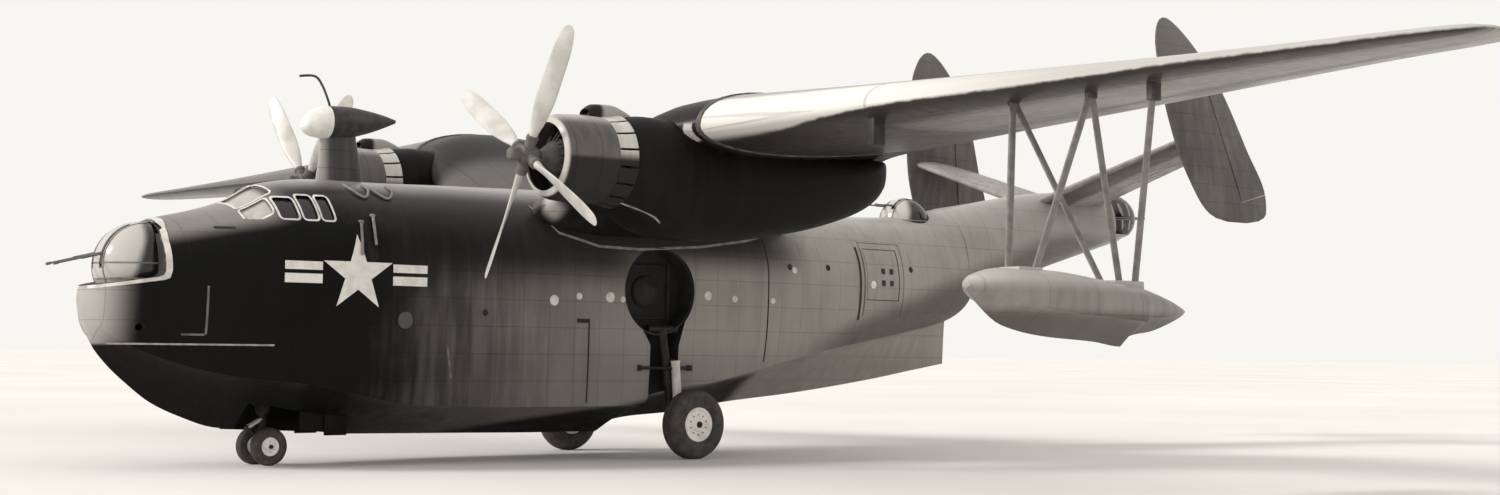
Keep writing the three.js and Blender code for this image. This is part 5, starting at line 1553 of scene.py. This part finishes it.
def hub_profile(wheel):
    """A cast disc's outline from its bearing to its rim."""
    half, rim, axle = wheel["width"] / 2, wheel["rim"] - HAIR, wheel["axle"]
    face = [(axle, half * 0.8), (rim * 0.36, half * 0.8), (rim * 0.44, half * 0.68), (rim * 0.78, half * 0.6),
            (rim * 0.86, half * 0.72), (rim, half * 0.74)]
    return filleted(face + [(r, -a) for r, a in reversed(face)], 0.01, 3) + [face[0]]


rubber, shader, place = new_finish("tyre_rubber", Specular_IOR_Level=0.3)
wear = place.noise(7, 6)
lay(shader, wear.smooth(0.35, 0.7).mixed(tone(0.045, 0.1), tone(0.08, 0.1)), 0.72 + wear * 0.15, wear, 0.003)
wheel_white = flat_paint("wheel_white", tone(0.9, 0.05), tone(0.7, 0.06), 0.45)
bolt_finish = flat_paint("bolt_steel", tone(0.12), tone(0.06), 0.35)


def wheel_set(label, wheel, side, body, bolts, grooves, *nodes):
    """A tyre, its disc and the ring of bolts on the disc."""
    place = (side * wheel["x"], BOW + wheel["station"], wheel["radius"])
    tyre = turned(f"{label}_tyre", tyre_profile(wheel, grooves), place, "x", 112)
    fit(tyre, body, "tyre", rubber, nodes[0], edge=50)
    disc = turned(f"{label}_disc", hub_profile(wheel), place, "x", 72)
    fit(disc, body, "wheel_white", wheel_white, nodes[1], edge=40)
    reach, height = wheel["width"] / 2 * 0.64 + 0.012, wheel["rim"] * 0.58
    bolt = rod("bolt", (0, 0, height), (0, reach, height), wheel["rim"] * 0.045, 6)
    bolt.data.transform(Matrix.Translation((0, -BOW, 0)))
    ring = ring_of(bolt, bolts, place, bolt_finish, tip=(0, 0, -side * math.pi / 2))
    ring.name = f"{label}_bolts"
    fit(ring, body, "wheel_white", bolt_finish)


TREAD_GROOVES = 3
for word, side in SIDES.items():
    for kind, wheel, body, bolts in (("main", MAIN_WHEEL, f"main_wheel_{word}", 10),
                                     ("nose", NOSE_WHEEL, "nose_wheels", 6)):
        nodes = (f"{kind}_tyre_{word}", f"{kind}_hub_{word}")
        wheel_set(f"{kind}_{word}", wheel, side, body, bolts, TREAD_GROOVES, *nodes)

# Main legs: an oleo strut on a trunnion across the well's slot, a stub axle with a brake, a bright
# actuator beside it, and the lock bar along the hull.
axle_y, axle_z = MAIN_WHEEL["station"], MAIN_WHEEL["radius"]
# Columns: name, both ends on the port side, radius, sides, and how much wider than thick it is
LEG_RODS = [
    ("trunnion", (1.39, WELL["slot"][0], 2.26), (1.39, WELL["slot"][1], 2.26), 0.07, 32),
    ("cylinder", (1.39, 9.96, 2.26), (1.415, 10.09, 1.32), 0.088, 32),
    ("gland", (1.414, 10.085, 1.36), (1.416, 10.098, 1.28), 0.10, 32),
    ("slider", (1.415, 10.09, 1.32), (1.42, 10.15, 0.90), 0.072, 32),
    ("knee", (1.42, 10.15, 0.98), (1.42, axle_y, 0.56), 0.066, 24),
    ("axle", (1.36, axle_y, axle_z), (2.10, axle_y, axle_z), 0.0548, 32),
    ("nut", (2.088, axle_y, axle_z), (2.112, axle_y, axle_z), 0.04, 6),
    ("brake", (1.35, axle_y, axle_z), (1.66, axle_y, axle_z), 0.095, 40),
    ("brake_drum", (1.60, axle_y, axle_z), (1.665, axle_y, axle_z), 0.17, 48),
    ("arm", (1.39, 10.04, 1.70), (1.56, 10.13, 1.70), 0.045, 20),
    ("link_top", (1.42, 10.17, 1.30), (1.42, 10.34, 1.10), 0.022, 12, 2.0),
    ("link_low", (1.42, 10.34, 1.10), (1.42, 10.20, 0.86), 0.022, 12, 2.0),
    ("lock_bar", (1.535, 9.38, 1.58), (1.535, 10.53, 1.58), 0.026, 16),
]
ACTUATOR_RODS = [
    ("sleeve", (1.555, 10.15, 1.70), (1.56, 10.20, 1.06), 0.078, 32),
    ("collar", (1.555, 10.15, 1.71), (1.555, 10.152, 1.68), 0.088, 32),
    ("piston", (1.56, 10.20, 1.08), (1.56, axle_y - 0.03, 0.66), 0.04, 24),
]
leg_finish = flat_paint("leg_dark", tone(0.008), tone(0.022), 0.5)
oleo_finish = flat_paint("oleo_bright", tone(0.72, 0.05), tone(0.52, 0.06), 0.35)
for word, side in SIDES.items():
    parts = [side_rod(name, side, *row) for name, *row in LEG_RODS]
    for y in (9.40, 10.51):
        bracket = side_block("bracket", side, (1.44, 1.55), (y - 0.03, y + 0.03), (1.53, 1.63))
        parts.append(soften(bracket, 0.008))
    fit(joined(f"main_leg_struts_{word}", parts), "airframe", "gear_metal", leg_finish, f"main_leg_{word}")
    sleeve = [side_rod(name, side, *row) for name, *row in ACTUATOR_RODS]
    fit(joined(f"main_leg_actuator_{word}", sleeve), "airframe", "gear_metal", oleo_finish)

# Wheel wells: a rolled angle riveted round the rim, tube stiffeners on the floor, and a dome pressed
# in the floor's sheet behind the wheel's hub.
# The well's frames and dome are near black, a painted shade of the recess.
well_shade_finish = flat_paint("well_shade", tone(0.018), tone(0.032), 0.6)
# Columns: radius, height above the well's floor
WELL_DOME = [(0, 0.11), (0.14, 0.10), (0.27, 0.05), (0.30, 0), (0, 0)]
# Columns: both ends of a stiffener as station and height
STIFFENERS = [((9.33, 2.4), (9.33, 3.44)), ((10.33, 2.4), (10.33, 3.44)),
              ((9.42, 2.46), (10.24, 2.46)), ((9.42, 3.38), (10.24, 3.38))]
for word, side in SIDES.items():
    place = (0, BOW + WELL["station"], WELL["height"])
    rim, inner = WELL["radius"], WELL["radius"] - 0.03
    ring = ((inner, 1.44), (inner, 1.47), (rim, 1.47), (rim, 1.44), (inner, 1.44))
    angle = [(r, side * x) for r, x in ring]
    pressed = [(r, side * (WELL_FLOOR + up)) for r, up in WELL_DOME]
    parts = [turned("angle", angle, place, "x"), turned("dome", filleted(pressed, 0.03), place, "x", 64)]
    for ends in STIFFENERS:
        parts.append(side_rod("stiffener", side, *((WELL_FLOOR + 0.03, *end) for end in ends), 0.03, 8))
    fit(joined(f"well_frames_{word}", parts), "airframe", "hull_paint", well_shade_finish)

# Nose leg: a short oleo in the bay with a cross tube and two drag braces, and below it the steered
# fork with its axle and torque link. Two dark doors hang open behind it.
NOSE_SPLIT = 0.80
nose_y, nose_z, bay_x = NOSE_WHEEL["station"], NOSE_WHEEL["radius"], NOSE_BAY["half_width"]
link_y, link_z = nose_y - 0.25, 0.60
NOSE_LEG_RODS = [
    ("cylinder", (0, nose_y, NOSE_SPLIT), (0, nose_y, NOSE_BAY["roof"]), 0.085, 36),
    ("collar", (0, nose_y, NOSE_SPLIT + 0.01), (0, nose_y, NOSE_SPLIT + 0.06), 0.10, 36),
    ("cross_tube", (-bay_x, nose_y, 1.29), (bay_x, nose_y, 1.29), 0.05, 24),
    ("yoke", (-0.15, nose_y, 0.90), (0.15, nose_y, 0.90), 0.055, 24),
]
NOSE_FORK_RODS = [
    ("slider", (0, nose_y, 0.25), (0, nose_y, NOSE_SPLIT - HAIR), 0.062, 32),
    ("fork_collar", (0, nose_y, 0.66), (0, nose_y, 0.72), 0.075, 32),
    ("axle", (-0.36, nose_y, nose_z), (0.36, nose_y, nose_z), 0.0318, 28),
    ("link_pin", (-0.055, link_y, link_z), (0.055, link_y, link_z), 0.03, 16),
    ("lower_link", (0, link_y, link_z), (0, nose_y, 0.40), 0.028, 16, 1.5),
]
braces, nuts, links = [], [], []
for side in SIDES.values():
    braces.append(side_rod("brace", side, (0.12, nose_y, 0.90), (0.20, 2.64, 1.30), 0.03, 16))
    nuts.append(side_rod("nut", side, (0.345, nose_y, nose_z), (0.362, nose_y, nose_z), 0.027, 6))
    links.append(side_rod("upper_link", side, (0.045, link_y, link_z), (0.03, nose_y, 0.74), 0.026, 16))
parts = [rod(*row) for row in NOSE_LEG_RODS] + braces
fit(joined("nose_leg_struts", parts), "airframe", "gear_metal", leg_finish, "nose_leg")
parts = [rod(*row) for row in NOSE_FORK_RODS] + nuts
fit(joined("nose_fork_struts", parts), "nose_fork", "gear_metal", leg_finish, "nose_fork")
fit(joined("nose_torque_link", links), "nose_fork", "gear_metal", oleo_finish)
for word, side in SIDES.items():
    door_xs = (bay_x - 0.036, bay_x - HAIR)
    door = soften(side_block(f"nose_door_{word}", side, door_xs, (3.88, 4.28), (0.47, 1.0)), 0.012)
    fit(door, "airframe", "hull_paint", dark_paint, f"nose_gear_door_{word}")
    front = 3.46 if side > 0 else NOSE_BAY["start"]
    web = [(front, 0.56), (4.29, 0.49), (4.29, 1.35), (front, 1.35)]
    web = prism(f"nose_bay_web_{word}", web, (side * 0.474, side * 0.4830))
    fit(web, "airframe", "hull_paint", dark_paint)

# Waist hatches: a stiffened panel of the hull's skin on each side, hinged at its front edge, with
# four small dark windows and a worn pale patch.
hatch_dark = flat_paint("hatch_window", tone(0.006), tone(0.012), 0.15)
hatch_pale = flat_paint("hatch_patch", tone(0.8, 0.06), tone(0.6, 0.07))
HATCH_GAP = {"edge": 0.014, "swing": 0.024, "hinge": 0.008}
WINDOW_SIZE = 0.055
window_marks = [rounded(y - WINDOW_SIZE, y + WINDOW_SIZE, z - WINDOW_SIZE, z + WINDOW_SIZE, 0, 0.02)
                for y in (15.50, 15.74) for z in (3.24, 3.47)]
for word, side in SIDES.items():
    panel = side_block("panel", side, HATCH["room"],
                       (HATCH["start"] + HATCH_GAP["hinge"], HATCH["end"] - HATCH_GAP["swing"]),
                       (HATCH["low"] + HATCH_GAP["edge"], HATCH["high"] - HATCH_GAP["edge"]))
    shell = hull_slice(f"hatch_skin_{word}", 14.8, 16.2, 0)
    core = hull_slice("core", 14.7, 16.3, -HATCH["thickness"])
    carve(shell, ("DIFFERENCE", core), ("INTERSECT", panel))
    fit(shell, f"waist_hatch_{word}", "hull_paint", hull_paint, f"waist_hatch_{word}")
    for label, outlines, finish in (("windows", window_marks, hatch_dark),
                                    ("patch", [oval(15.20, 3.20, 0.075)], hatch_pale)):
        marks = hull_slice(f"hatch_{label}_{word}", 14.8, 16.2, 0.004)
        core = hull_slice("core", 14.7, 16.3, -0.006)
        prisms = joined("prisms", [through("prism", outline) for outline in outlines])
        half = side_block("half", side, HATCH["room"], (14, 17), (2, 5))
        carve(marks, ("DIFFERENCE", core), ("INTERSECT", prisms), ("INTERSECT", half))
        fit(marks, f"waist_hatch_{word}", "hull_paint", finish)

boxes = {"cad": cad_box, "visual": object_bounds()}
{name: [[float(v) for v in corner] for corner in box] for name, box in boxes.items()}
